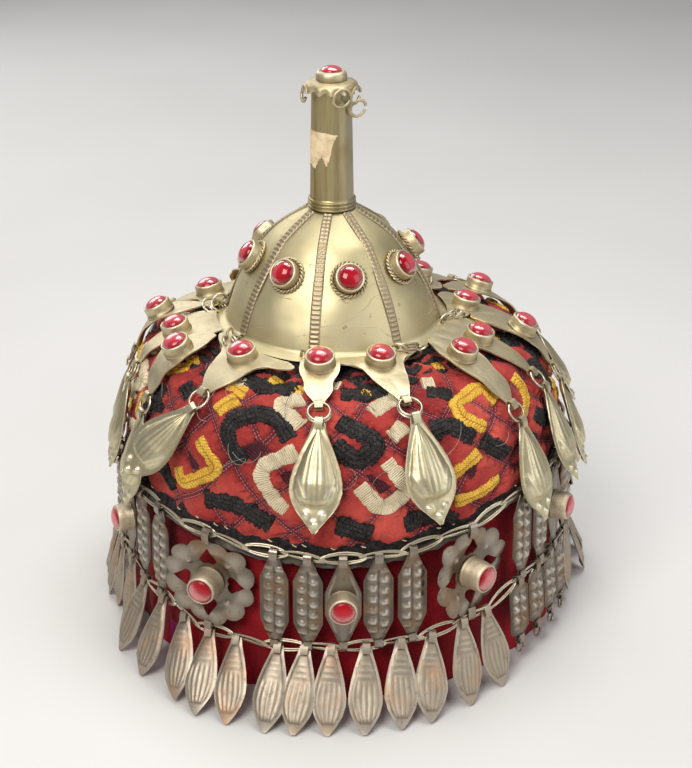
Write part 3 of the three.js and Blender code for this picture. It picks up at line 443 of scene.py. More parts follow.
class Nodes:
    """Small helper that writes one material's node tree."""

    def __init__(self, name, **shader):
        self.material = bpy.data.materials.new(name)
        self.material.use_nodes = True
        self.tree = self.material.node_tree
        self.shader = self.tree.nodes["Principled BSDF"]
        for key, value in shader.items():
            self.shader.inputs[key.replace("_", " ")].default_value = value

    def put(self, kind, inputs=None, **settings):
        """New node, with links or values at its inputs; a colour is given as three numbers."""
        node = self.tree.nodes.new("ShaderNode" + kind)
        for key, value in settings.items():
            setattr(node, key, value)
        for key, value in (inputs or {}).items():
            if isinstance(value, Value):
                self.tree.links.new(value.socket, node.inputs[key])
            else:
                node.inputs[key].default_value = (*value, 1) if node.inputs[key].type == "RGBA" else value
        return node

    def get(self, kind, output, inputs=None, **settings):
        return Value(self, self.put(kind, inputs, **settings).outputs[output])

    def place(self, stretch=1.0):
        """Place on the object; a stretch below one draws a texture out along the height."""
        return self.get("Mapping", 0, {"Vector": self.get("TexCoord", "Object"), "Scale": (1, 1, stretch)})

    def noise(self, scale, detail=3.0, vector=None, roughness=0.55):
        return self.get("TexNoise", "Fac", {"Vector": vector or self.get("TexCoord", "Object"),
                                            "Scale": scale, "Detail": detail, "Roughness": roughness})

    def math(self, name, first, second=0.0):
        return self.get("Math", 0, {0: first, 1: second}, operation=name)

    def ramp(self, value, stops):
        """Colours or greys between stops."""
        node = self.put("ValToRGB", {"Fac": value})
        elements = node.color_ramp.elements
        while len(elements) < len(stops):
            elements.new(0.5)
        for element, (place, colour) in zip(elements, stops):
            element.position = place
            element.color = (*(colour if isinstance(colour, tuple) else (colour,) * 3), 1)
        return Value(self, node.outputs["Color"])

    def blend(self, value, low, high, first=0.0, last=1.0):
        """From first, where the value is low, to last, where it is high."""
        return self.ramp(value, [(low, first), (high, last)])

    def mix(self, share, first, second):
        return self.get("Mix", 2, {0: share, 6: first, 7: second}, data_type="RGBA")

    def relief(self):
        return self.get("Attribute", "Fac", attribute_name="relief")

    def uv(self, name="UVMap"):
        """Across and along, as numbers."""
        node = self.put("SeparateXYZ", {"Vector": self.get("UVMap", "UV", uv_map=name)})
        return [Value(self, output) for output in node.outputs[:2]]

    def bump(self, height, strength, distance, under=None):
        inputs = {"Height": height, "Strength": strength, "Distance": distance}
        return self.get("Bump", "Normal", inputs if under is None else {**inputs, "Normal": under})

    def done(self, colour, roughness=None, normal=None):
        for key, value in (("Base Color", colour), ("Roughness", roughness), ("Normal", normal)):
            if value is not None:
                self.tree.links.new(value.socket, self.shader.inputs[key])
        return self.material


def metal(name, base, recess, worn, tarnish, rough, stain=0.5):
    """Sheet metal: dark in its recesses, bright on its ridges, with blotches of tarnish and scratches."""
    m = Nodes(name, Metallic=1.0)
    blotches, specks, relief = m.noise(70, 4), m.noise(420, 3), m.relief()
    colour = m.mix(m.blend(relief, 0.12, 0.55), recess, base)
    colour = m.mix(m.blend(relief, 0.6, 0.95, 0.0, 0.8), colour, worn)
    colour = m.mix(m.blend(blotches, 0.50, 0.68) * stain, colour, tarnish)
    colour = m.mix(m.blend(specks, 0.60, 0.72) * 0.35, colour, recess)
    dents = m.bump(m.noise(130, 2), 0.25, 0.0012)
    scratches = m.noise(900, 2, m.place(0.12), 0.5)
    return m.done(colour, m.blend(specks * 0.5 + blotches * 0.5, 0.3, 0.7, *rough),
                  m.bump(scratches, 0.10, 0.0002, dents))


def cloth_red():
    """Faded quilted cotton: plain weave, with painted shade in the folds and along the stitch lines, sewn in
    diamonds, edged in black.
    """
    m = Nodes("quilted_cotton", Sheen_Weight=0.05, Sheen_Roughness=0.5, Specular_IOR_Level=0.2)
    crossings = m.uv("lattice")
    along, down = m.uv()
    fade = m.noise(38, 4)
    colour = m.ramp(fade, [(0.28, (0.13, 0.011, 0.013)), (0.45, (0.34, 0.032, 0.027)),
                           (0.66, (0.52, 0.074, 0.054))])
    # Painted shade: darker where the relief is low, in the valleys of the padding.
    colour = m.mix(m.blend(m.relief(), 0.10, 0.55, 0.8, 0.0), colour, (0.12, 0.011, 0.014))
    colour = m.mix(m.blend(m.noise(700, 2), 0.60, 0.75, 0.0, 0.2), colour, (0.60, 0.20, 0.15))
    puckers = []
    for line, other in (crossings, crossings[::-1]):
        place = abs(line - line.nearest())
        thread = (abs(place - 0.036) < 0.009) * ((other * 13.0).fraction() > 0.35)
        # Painted shade in the groove along each stitch line.
        colour = m.mix(m.blend(place, 0.045, 0.075, 0.7, 0.0), colour, (0.11, 0.010, 0.018))
        colour = m.mix(thread * 0.85, colour, (0.42, 0.20, 0.22))
        near = m.ramp(place, [(0.03, 0.0), (0.08, 1.0), (0.24, 0.0)])
        puckers.append((m.noise(60, 2) * 14.0 + other * 30.0).sine() * near)
    weave = (along * (TURN / WEAVE)).sine() * (down * (TURN / WEAVE)).sine()
    rim = m.noise(170, 3) * 7.0 + down > RIM_ARC - 1.5
    crown = m.noise(160, 3) * 9.0 + down < 58.0
    wool = m.ramp(m.noise(500, 2), [(0.35, (0.007, 0.006, 0.006)), (0.7, (0.035, 0.028, 0.027))])
    colour = m.mix(rim.larger(crown), colour, wool)
    wrinkles = m.bump(m.noise(190, 4, roughness=0.6), 0.7, 0.0028)
    wrinkles = m.bump(puckers[0] + puckers[1], 0.7, 0.0010, wrinkles)
    return m.done(colour, m.blend(fade, 0.3, 0.7, 0.95, 0.8),
                  m.bump(m.noise(900, 2) * 0.8 + weave * 0.25, 0.5, 0.0004, wrinkles))


def yarn(name, painted_shade, plain, light, column=1.75, pitch=1.3, slant=0.45, ragged=0.3, shift=0.0, groove=2.5):
    """Yarn in rows of chain stitch, with painted shade between the stitches and along its edges: column is a
    row's width and pitch the length of a stitch.
    """
    m = Nodes(name, Roughness=0.55, Specular_IOR_Level=0.3)
    across, along = m.uv()
    uneven = (m.noise(330, 2) - 0.5) * (ragged * 4)
    side = (across + uneven * 0.4) / column + shift
    middle = abs(side.fraction() - 0.5)
    wave = (((along + uneven) / pitch - middle * (slant * 2) + side.whole() * 0.37) * TURN).sine()
    stitch = (wave * 0.35 + 0.65) * ((middle * 2.0) ** groove * -1.0 + 1.0)
    colour = m.ramp(m.noise(240, 3), [(0.32, plain), (0.68, light)])
    # Painted shade in the gaps between the stitches.
    colour = m.mix(m.blend(stitch, 0.02, 0.42, 0.9, 0.0), colour, painted_shade)
    # Painted shade along the stroke's edges, where the relief is low.
    colour = m.mix(m.blend(m.relief(), 0.1, 0.45, 0.9, 0.0), colour, painted_shade)
    fibres = m.bump(m.noise(2200, 2), 0.5, 0.0003)
    return m.done(colour, None, m.bump(stitch, 0.9, 0.0007, fibres))


def dome_brass():
    """Pale brass with faint chased scrolls, small stains and soft streaks."""
    m = Nodes("dome_brass", Metallic=1.0)
    cloud = m.noise(26, 4)
    colour = m.ramp(cloud, [(0.32, (0.50, 0.43, 0.235)), (0.52, (0.61, 0.535, 0.32)),
                            (0.72, (0.69, 0.625, 0.41))])
    colour = m.mix(m.blend(m.noise(230, 2), 0.69, 0.74, 0.0, 0.6), colour, (0.33, 0.21, 0.10))
    scroll = m.get("TexWave", "Fac", {"Vector": m.place(), "Scale": 34.0, "Distortion": 9.0, "Detail": 1.5,
                                      "Detail Scale": 1.2}, wave_type="RINGS", rings_direction="SPHERICAL")
    line = m.ramp(scroll, [(0.475, 0.0), (0.50, 1.0), (0.525, 0.0)])
    chased = line * m.blend(m.noise(45, 1), 0.50, 0.60) * (m.noise(1300, 1) > 0.47)
    colour = m.mix(chased * 0.6, colour, (0.80, 0.74, 0.53))
    dents = m.bump(m.noise(55, 2), 0.18, 0.003)
    return m.done(colour, m.blend(cloud, 0.3, 0.7, 0.46, 0.58), m.bump(chased, 0.8, 0.0004, dents))


def tube_brass():
    """Dull brass with soft streaks along the tube, greyer on one side, with darker patches."""
    m = Nodes("tube_brass", Metallic=1.0)
    streaks = m.noise(260, 5, m.place(0.06), 0.65)
    colour = m.ramp(streaks, [(0.30, (0.27, 0.19, 0.075)), (0.50, (0.40, 0.325, 0.16)),
                              (0.72, (0.52, 0.455, 0.26))])
    side = m.get("SeparateXYZ", 0, {"Vector": m.place()})
    colour = m.mix(m.blend(side * 60.0 + 0.75, 0.35, 0.9, 0.0, 0.75), colour, (0.40, 0.37, 0.26))
    colour = m.mix(m.blend(m.noise(60, 3), 0.50, 0.70, 0.0, 0.5), colour, (0.27, 0.20, 0.085))
    return m.done(colour, m.blend(streaks, 0.3, 0.7, 0.50, 0.34), m.bump(streaks, 0.12, 0.0003))


def glass(name, rough, reflection_share, gloss=0.5):
    """Red cabochon with painted light: dark red at its edge and a little lighter on top; a paler one has a
    painted pinkish reflection mixed into its colour.
    """
    m = Nodes(name, Roughness=rough, IOR=1.50, Transmission_Weight=0.25, Specular_IOR_Level=gloss)
    # Painted light: darker at the edge, lighter towards the top.
    colour = m.ramp(m.relief(), [(0.0, (0.12, 0.001, 0.005)), (0.5, (0.40, 0.002, 0.010)),
                                 (1.0, (0.56, 0.004, 0.016))])
    colour = m.mix(m.blend(m.noise(150, 2), 0.45, 0.75, 0.0, 0.5), colour, (0.20, 0.001, 0.008))
    # Painted reflection: the share given for a paler stone mixes in a pinkish tint.
    return m.done(m.mix(reflection_share, colour, (0.72, 0.045, 0.075)), None, m.bump(m.noise(260, 1), 0.05, 0.0004))


def band_cotton():
    """Bright red cotton with a magenta strip low on one side and painted shade in its folds; its darker
    blotches are partly cloth tone and partly painted shade behind the fringe.
    """
    m = Nodes("band_cotton", Sheen_Weight=0.08, Sheen_Roughness=0.4, Roughness=0.9, Specular_IOR_Level=0.2)
    along, up = m.uv()
    # Blotches of cloth tone, their darker end partly painted shade behind the fringe.
    colour = m.ramp(m.noise(50, 4), [(0.30, (0.13, 0.003, 0.006)), (0.66, (0.40, 0.009, 0.017))])
    colour = m.mix((abs(along + 77.0) < 8.0) * (up < 12.0), colour, (0.42, 0.012, 0.16))
    # Painted shade: darker where the relief is low, in the folds.
    colour = m.mix(m.blend(m.relief(), 0.1, 0.5, 0.6, 0.0), colour, (0.12, 0.002, 0.008))
    weave = (along * (TURN / BAND_WEAVE)).sine() * (up * (TURN / BAND_WEAVE)).sine()
    return m.done(colour, None, m.bump(weave, 0.35, 0.0003, m.bump(m.noise(1400, 3), 0.6, 0.0004)))


def mottled(name, scale, stops, bump=None, **shader):
    """Plain material whose colour is a soft noise; bump gives its scale, strength and height."""
    m = Nodes(name, **shader)
    normal = m.bump(m.noise(bump[0], 4), *bump[1:]) if bump else None
    return m.done(m.ramp(m.noise(*scale), stops), None, normal)


RED = cloth_red()
# Yarns: painted shade for the gaps and edges, the yarn and its lighter parts, then column, pitch, slant and
# raggedness
BLACK_YARN = yarn("black_yarn", (0.001, 0.001, 0.001), (0.006, 0.005, 0.005), (0.040, 0.032, 0.031),
                  1.9, 1.5, 0.4, 0.7)
YELLOW_YARN = yarn("yellow_yarn", (0.26, 0.10, 0.008), (0.66, 0.35, 0.03), (0.86, 0.54, 0.07),
                   3.2, 1.4, 0.9, 0.25)
CREAM_YARN = yarn("cream_yarn", (0.26, 0.18, 0.09), (0.64, 0.52, 0.32), (0.82, 0.70, 0.49),
                  8.0, 0.85, 0.1, 0.25, shift=0.5, groove=6)
MAROON_YARN = yarn("maroon_yarn", (0.02, 0.003, 0.006), (0.06, 0.007, 0.013), (0.11, 0.014, 0.022),
                   1.2, 1.0, 0.3, 0.4)
THREAD = yarn("loose_thread", (0.2, 0.18, 0.16), (0.42, 0.38, 0.34), (0.6, 0.56, 0.5))
DOME, TUBE, BAND = dome_brass(), tube_brass(), band_cotton()
# Metals: colours of the base, the recesses, the worn ridges and the tarnish, the range of roughness
# and the strength of the stains
PLATES = metal("plate_brass", (0.60, 0.52, 0.34), (0.28, 0.21, 0.11), (0.76, 0.69, 0.50), (0.40, 0.32, 0.18),
               (0.42, 0.56))
DROPS = metal("teardrop_brass", (0.64, 0.585, 0.40), (0.34, 0.27, 0.14), (0.82, 0.77, 0.58),
              (0.48, 0.40, 0.23), (0.36, 0.48), 0.4)
WIRE = metal("ring_wire", (0.60, 0.54, 0.40), (0.25, 0.20, 0.13), (0.78, 0.72, 0.58), (0.36, 0.28, 0.18),
             (0.34, 0.48))
CUPS = metal("fringe_cups", (0.60, 0.51, 0.37), (0.24, 0.18, 0.12), (0.72, 0.63, 0.48), (0.44, 0.32, 0.20),
             (0.50, 0.64))
RIB = metal("dome_ribs", (0.46, 0.38, 0.25), (0.34, 0.27, 0.17), (0.58, 0.50, 0.35), (0.40, 0.31, 0.20),
            (0.45, 0.58))
FRINGE = metal("fringe_silver", (0.34, 0.295, 0.24), (0.055, 0.042, 0.030), (0.58, 0.54, 0.47),
               (0.23, 0.145, 0.08), (0.30, 0.46), 0.85)
LONG_DROPS = metal("drop_silver", (0.42, 0.36, 0.28), (0.14, 0.10, 0.07), (0.62, 0.55, 0.46),
                   (0.50, 0.32, 0.20), (0.46, 0.64), 0.7)
STONE = glass("red_cabochon", 0.09, 0.0)
# The plate and finial stones carry a painted pinkish reflection.
PLATE_STONE = glass("pinkish_reflection_cabochon", 0.19, 0.28)
FRINGE_STONE = glass("dull_cabochon", 0.30, 0.0, 0.22)
PAPER = mottled("paper_residue", (240, 4), [(0.35, (0.60, 0.45, 0.26)), (0.6, (0.82, 0.66, 0.42))],
                (500, 0.5, 0.0004), Roughness=0.85)
ROLL = mottled("rim_cloth", (120, 4), [(0.32, (0.018, 0.014, 0.010)), (0.55, (0.085, 0.070, 0.045)),
                                       (0.75, (0.19, 0.16, 0.11))],
               (420, 0.8, 0.0009), Roughness=0.92, Sheen_Weight=0.3)
FLOOR = mottled("pale_floor", (4, 2), [(0.3, (0.60, 0.59, 0.57)), (0.7, (0.64, 0.63, 0.61))], Roughness=0.75)


# Cloth


def ring_of(columns):
    return np.linspace(-180, 180, columns + 1)


def make_cap():
    azimuth = ring_of(380)[None, :]
    rows = np.concatenate([[0.5, 14, 28, 40], np.linspace(46, RIM_ARC, 108)])[:, None]
    height = quilt(azimuth, rows)
    outer = above_cap(azimuth, rows, height)
    form = Form()
    # The relief kept per point is low in the stitch valleys, where the cotton paints shade.
    form.grid(outer, spread(azimuth * CLOTH_PER_DEGREE, rows), np.clip(0.85 + height / 2.6, 0, 1))
    inner_rows = np.concatenate([[0.5, 20, 40], np.linspace(52, RIM_ARC, 12)])[:, None]
    inner = above_cap(azimuth, inner_rows, -CAP_WALL)
    form.grid(inner, spread(azimuth * CLOTH_PER_DEGREE, np.full_like(inner_rows, 100)), None, 1, flip=True)
    form.grid(np.stack([outer[-1], inner[-1]]), None, None, 1)
    cap = form.made("quilted_cap", [RED, BAND], "quilted_cloth", ["cap_shell"])
    crossings = np.zeros((form.count, 2))
    crossings[: height.size] = spread(*lattice(azimuth, rows)).reshape(-1, 2)
    loops = np.zeros(len(cap.data.loops), np.int32)
    cap.data.loops.foreach_get("vertex_index", loops)
    write_uv(cap.data, "lattice", crossings[loops])


def stroke(form, points, seed, width, thick, corner, lump, arch):
    """Raised bar of chain stitch along points on the cap: corner rounds its bends, lump roughens it and
    arch is how much its middle stands above its edges."""
    rng = np.random.default_rng(seed)
    points = np.asarray(points, float)
    for _ in range(2):
        step = np.diff(points, axis=0) * corner
        near, far = points[:-1] + step, points[1:] - step
        points = np.vstack([points[:1], np.stack([near, far], 1).reshape(-1, 2), points[-1:]])
    per_degree = np.radians(cap_radius(points[:, 1]))
    steps = np.hypot(np.diff(points[:, 0]) * per_degree[:-1], np.diff(points[:, 1]))
    run = np.concatenate([[0], np.cumsum(steps)])
    place = np.linspace(0, run[-1], max(int(run[-1] / 0.45), 4))
    line = spread(*(np.interp(place, run, points[:, k]) for k in (0, 1)))
    scale = np.radians(cap_radius(line[:, 1]))
    tangent = unit(spread(np.gradient(line[:, 0]) * scale, np.gradient(line[:, 1])))
    for _ in range(3):
        tangent[1:-1] = unit(tangent[:-2] + tangent[1:-1] + tangent[2:])
    across = np.array([-1, -0.95, -0.84, -0.62, -0.32, 0, 0.32, 0.62, 0.84, 0.95, 1])[None, :]
    soft = np.convolve(rng.normal(size=len(place) + 4), np.ones(5) / 5, "valid")
    ragged = 1 + 0.16 * soft[:, None] + (0.02 + 0.25 * lump) * rng.normal(size=(len(place), 1))
    half = width / 2 * ragged * across
    azimuth = line[:, :1] - tangent[:, 1:] * half / scale[:, None]
    arc = np.minimum(line[:, 1:] + tangent[:, :1] * half, RIM_ARC - 1)
    ends = eased(np.minimum(place, run[-1] - place), 0, 0.7)[:, None]
    pillow = eased(np.abs(across), 1, 0.78) * ends
    surface = quilt(azimuth, arc)
    top = 0.5 * surface - 0.35 + thick * (1 - arch * across**2) + lump * rng.normal(size=surface.shape)
    height = (surface - 0.3) * (1 - pillow) + top * pillow
    # The pillow, kept as relief, is low at the stroke's edges, where the yarn paints shade.
    form.grid(above_cap(azimuth, arc, height), spread(half, place[:, None]), pillow)


def make_embroidery():
    rng = np.random.default_rng(8)
    sets = {"black": list(BLACK), "yellow": list(YELLOW), "cream": list(CREAM), "maroon": list(MAROON)}
    order = ["black", "yellow", "black", "cream", "black", "yellow", "cream"]
    count = 0
    for row, arc in enumerate(HOOK_ARCS):
        for k in range(LATTICE_ROUND):
            azimuth = (k + 0.5 * (row % 2)) * 360 / LATTICE_ROUND - 180
            if READ_FROM < azimuth < READ_TO or (row == 0 and k % 2):
                continue
            hook = np.array(HOOKS[int(rng.integers(len(HOOKS)))], float) * rng.uniform(0.85, 1.0)
            hook[:, 0] *= rng.choice([-1, 1])
            points = [(azimuth + x / math.radians(cap_radius(arc)), arc - y) for x, y in hook]
            sets[order[count % len(order)]].append(points)
            count += 1
    # Black rows and small coloured blocks round the dome's foot
    runs = []
    for arc, length, start in FOOT_ROWS:
        azimuth = start - 180.0
        while azimuth < 178 + start:
            long = length * rng.uniform(0.6, 1.1)
            if arc < 66 or not -40 < azimuth + long / 2 < 40:
                bow = rng.uniform(-0.8, 0.8, 3)
                runs.append(spread(np.linspace(azimuth, azimuth + long - 1.5, 3), arc + bow))
            azimuth += long + 1.0
    for k in range(FOOT_BLOCKS):
        azimuth = -180 + k * 360 / FOOT_BLOCKS + rng.uniform(-2, 2)
        arc = FOOT_BLOCK_ARC + FOOT_BLOCK_STEP * (k % 2) + rng.uniform(-1, 1)
        sets[("yellow", "cream", "yellow")[k % 3]].append([(azimuth - 2.2, arc), (azimuth + 2.2, arc + 2)])
    # Width, thickness, corner, lump and arch of each colour's strokes
    looks = {"black": (BLACK_YARN, 8.2, 1.15, 0.2, 0.26, 0.25),
             "yellow": (YELLOW_YARN, 6.4, 1.1, 0.14, 0.13, 0.3),
             "cream": (CREAM_YARN, 6.8, 1.0, 0.14, 0.07, -0.15),
             "maroon": (MAROON_YARN, 9.0, 0.25, 0.2, 0.1, 0.25)}
    for name, (material, *shape) in looks.items():
        form = Form()
        for k, points in enumerate(sets[name]):
            stroke(form, points, 100 + k, *shape)
        for k, points in enumerate(runs if name == "black" else ()):
            stroke(form, points, 300 + k, 4.4, 0.6, 0.2, 0.22, 0.25)
        form.made("embroidery_" + name, [material], "quilted_cloth")


def make_edging():
    """Small cream stitches on the dark edge of the cap."""
    form = Form()
    rng = np.random.default_rng(5)
    turn = np.linspace(-1, 1, 6)
    for azimuth in np.arange(-180, 180, 2.9):
        middle = azimuth + rng.uniform(-0.9, 0.9)
        if rng.random() < 0.5:
            continue
        arc = RIM_ARC - 4.6 + rng.uniform(-0.5, 0.5)
        path = above_cap(middle + 0.65 * turn, arc + 0.5 * turn, 0.1 + 0.55 * (1 - turn**2))
        form.wire(path, 0.28 * np.sqrt(1.05 - turn**2))
    form.made("edge_stitches", [CREAM_YARN], "quilted_cloth")


def make_roll():
    azimuth = ring_of(300)
    lift = CAP_RISE * around(RIM_LIFT, azimuth)
    centre = polar(CAP_RADIUS - CAP_WALL / 2, azimuth, CAP_RIM - GAP - ROLL_RADIUS + lift)
    turn = np.linspace(0, TURN, 17)[:, None, None]
    ring = np.cos(turn) * polar(1, azimuth, 0) + np.sin(turn) * UP
    base = centre + ring * ROLL_RADIUS
    swell = 0.28 * waves(base, 6, 11) + 0.22 * waves(base * [1, 1, 0.2], 3.2, 12)
    form = Form()
    form.grid(centre + ring * (ROLL_RADIUS - 0.1 + swell[..., None]), None, 0.5 + 0.4 * swell)
    roll = form.made("rim_binding", [ROLL], "rim_binding", ["rim_roll"])


def make_band():
    azimuth = ring_of(300)[None, :]
    share = np.linspace(0, 1, 34)[:, None]
    top = CAP_RADIUS - CAP_WALL / 2 - ROLL_RADIUS - GAP
    height = share * (CAP_RIM + BAND_TUCK + CAP_RISE * around(RIM_LIFT, azimuth))
    flare = np.interp(share, [0, 0.38, 0.78], [4.5, 2.475, 0])
    loose = eased(share, 0.78, 0)
    turn = np.radians(azimuth)
    folds = 0.9 * np.sin(7 * turn) + 0.7 * np.sin(23 * turn + 5 * share) * loose
    fold = (folds + 0.5 * np.sin(41 * turn + 2)) * loose
    hem = 0.5 * np.exp(-((share - 0.02) / 0.03) ** 2)
    radius = top - 0.3 + flare + fold * 0.75 + hem
    outer, inner = polar(radius, azimuth, height), polar(radius - BAND_WALL, azimuth, height)
    form = Form()
    uv = spread(azimuth * 1.64, share * 72)
    # The fold, kept as relief, is where the band paints shade in its folds.
    form.grid(outer, uv, np.clip(0.55 + 0.3 * fold, 0, 1), flip=True)
    form.grid(inner, uv)
    for near, far in ((inner[0], outer[0]), (outer[-1], inner[-1])):
        form.grid(np.stack([near, far]), flip=True)
    band = form.made("lining_band", [BAND], "band_cloth", ["red_band"])


def make_threads():
    """Loose thread ends that stand off the embroidery."""
    rng = np.random.default_rng(21)
    form = Form()
    turn = np.linspace(0, 1, 16)
    for azimuth, arc in THREAD_ENDS:
        heading, length, curl = rng.uniform(0, TURN), rng.uniform(7, 19), rng.uniform(-2.5, 2.5)
        across = length * turn * np.cos(heading + curl * turn)
        down = length * turn * np.sin(heading + curl * turn)
        height = 0.9 + rng.uniform(0.6, 1.8) * np.sin(np.pi * turn)
        path = above_cap(azimuth + across / CLOTH_PER_DEGREE, np.minimum(arc + down, RIM_ARC - 4), height)
        form.wire(path, 0.13, 5, up=(0.3, 0.2, 1))
    form.made("loose_threads", [THREAD], "quilted_cloth")


# Stones and settings


def gem(form, place, radius, seat, rise, rings=8, sides=30, power=1.0):
    """Cabochon whose relief rises to its top; the stones paint light from it, lighter on top."""
    turn = np.linspace(0, np.pi / 2, rings)
    rows = spread(radius * np.cos(turn), seat + rise * np.sin(turn))
    rows[-1, 0] = 0.01
    form.turned(rows, sides, place, relief=np.sin(turn) ** power)


def setting(metal_form, stone_form, place, radius, height):
    """Cup with a flat foot, a straight wall and a turned lip, and the cabochon in it."""
    lip, stone = CUP_LIP, STONE_RADIUS
    rows = [(radius + 0.25, -0.4), (radius + 0.25, 0.25), (radius - 0.15, 0.55),
            (radius - 0.2, 0.55 * height), (lip + 0.45, height - 0.7), (lip + 0.3, height - 0.15),
            (lip, height + 0.05), (stone - 0.05, height - 0.1), (stone - 0.2, height - 0.7)]
    metal_form.turned(rows, 32, place, relief=[0.3, 0.45, 0.2, 0.55, 0.65, 0.85, 0.95, 0.4, 0.05])
    gem(stone_form, place, stone, height - 0.6, 3.0, 10, 32, 1.5)


# Dome and finial

dome_rows = [(r * DOME_RADIUS, DOME_FOOT + DOME_WALL + h * DOME_HEIGHT) for r, h in DOME_OUTLINE]
dome_fine = spline(dome_rows, 120)
LEANING = np.array([-CAP_LEAN, 0, 0])
UPRIGHT = placed(LEANING, *np.eye(3))


def make_dome():
    form = Form()
    columns = 192
    azimuth = ring_of(columns)[None, :]
    body = dome_fine[::2]
    edge = np.array([DOME_RADIUS + DOME_FLANGE - 0.3, DOME_FOOT + DOME_WALL])
    flange = np.linspace(0, 1, 6)[1:, None]
    rows = np.vstack([[(0.01, DOME_TOP - 0.05), (6, DOME_TOP)], body, body[-1] + flange * (edge - body[-1])])
    ripple = 0.5 * np.sin(np.radians(azimuth * 9) + 1) + 0.4 * np.sin(np.radians(azimuth * 5))
    ripple = ripple * np.concatenate([np.zeros(len(rows) - 5), np.linspace(0.2, 1, 5)])[:, None]
    radius, height = rows[:, :1] + 0.35 * ripple, rows[:, 1:] + 0.45 * ripple
    points = polar(radius, azimuth, height) + LEANING
    points = points + 0.22 * waves(points, 24, 31)[..., None] * unit(points - [-CAP_LEAN, 0, 125])
    form.grid(points, spread(azimuth, height), np.full(height.shape, 0.6))
    under = polar(radius - 0.9, azimuth, height - 0.9) + LEANING
    form.grid(under[np.ix_([*range(0, len(rows) - 2, 4), len(rows) - 2], range(0, columns + 1, 4))], flip=True)
    form.grid(np.stack([points[-1], under[-2]]))
    add_ribs(form)
    form.made("ribbed_dome", [DOME, RIB], "dome_metal", ["dome"])


def add_ribs(form):
    """Embossed ribs: flat strips with raised edges and cross bars, split along their upper part."""
    index = np.linspace(0, len(dome_fine) - 1, 210)
    line = spread(*(np.interp(index, np.arange(len(dome_fine)), dome_fine[:, k]) for k in (0, 1)))
    normal = unit(spread(-np.gradient(line[:, 1]), np.gradient(line[:, 0])))
    along = lengths(line)[:, None]
    across = np.linspace(-1, 1, 13)[None, :]
    side = np.abs(across)
    upper = eased(along, 34, 28)
    bars = smooth(1.3 * crest(along / 1.9) - 0.1) * (1 - upper * np.exp(-((across / 0.14) ** 2)))
    bars = bars * eased(side, 0.80, 0.68)
    edge = np.exp(-(((side - 0.90) / 0.07) ** 2))
    rise = 0.10 + 0.42 * eased(side, 1, 0.92) + 0.30 * bars + 0.22 * edge
    turn = np.degrees(across * (RIB_HALF_WIDTH - 0.2 * upper) / line[:, :1])
    for k in range(RIBS):
        strip = polar(line[:, :1] + normal[:, :1] * rise, RIB_AZIMUTH + k * PANEL_TURN + turn,
                      line[:, 1:] + normal[:, 1:] * rise) + LEANING
        form.grid(strip, None, np.clip(0.25 + 0.28 * bars + 0.35 * edge, 0, 1), 1)


def make_dome_stones():
    height = DOME_FOOT + DOME_STONE_RISE + np.array([-3, 3])
    circle = np.linspace(0, TURN, 133)[:-1]
    for index in range(RIBS):
        azimuth = DOME_STONE_AZIMUTH + index * PANEL_TURN
        low, high = polar(np.interp(height, dome_fine[::-1, 1], dome_fine[::-1, 0]), azimuth, height)
        up, across = unit(high - low), polar(1, azimuth + 90, 0)
        out = np.cross(across, up)
        place = placed((low + high) / 2 + 0.1 * out + LEANING, across, up, out)
        cup, stone = Form(), Form()
        setting(cup, stone, place, DOME_CUP_RADIUS, 4.9)
        # Two wires twisted round the cup's foot
        for phase in (0, np.pi):
            wind = 13 * circle + phase
            reach = DOME_CUP_RADIUS + 0.75 + TWIST_RADIUS * np.cos(wind)
            path = spread(reach * np.cos(circle), reach * np.sin(circle), 0.75 + TWIST_RADIUS * np.sin(wind))
            cup.wire(place(path), 0.40, 6, True, out)
        cup.made(f"dome_setting_{index + 1}", [PLATES], "plate_metal", [f"dome_stone_{index + 1}"])
        stone.made(f"dome_cabochon_{index + 1}", [STONE], "red_stone")


def make_barrel():
    """Collar of three beads with the tube on it."""
    form = Form()
    collar = [(TUBE_FOOT, DOME_TOP + GAP)]
    for k in range(3):
        base = DOME_TOP + GAP + 0.9 + k * 1.45
        collar += [(9.5 - 0.12 * k + 0.62 * math.cos(a), base + 0.55 * math.sin(a))
                   for a in np.linspace(-np.pi / 2, np.pi / 2, 7)]
    form.turned(collar + [(TUBE_FOOT, BARREL_FOOT)], 64, UPRIGHT)
    body = spread(np.linspace(TUBE_FOOT, TUBE_TOP, 12),
                  np.linspace(BARREL_FOOT, BARREL_FOOT + TUBE_LENGTH, 12))
    form.turned(body, 64, UPRIGHT)
    form.turned(body - [0.8, 0], 32, UPRIGHT, flip=True)
    form.made("finial_barrel", [TUBE], "tube_metal", ["finial_tube"])


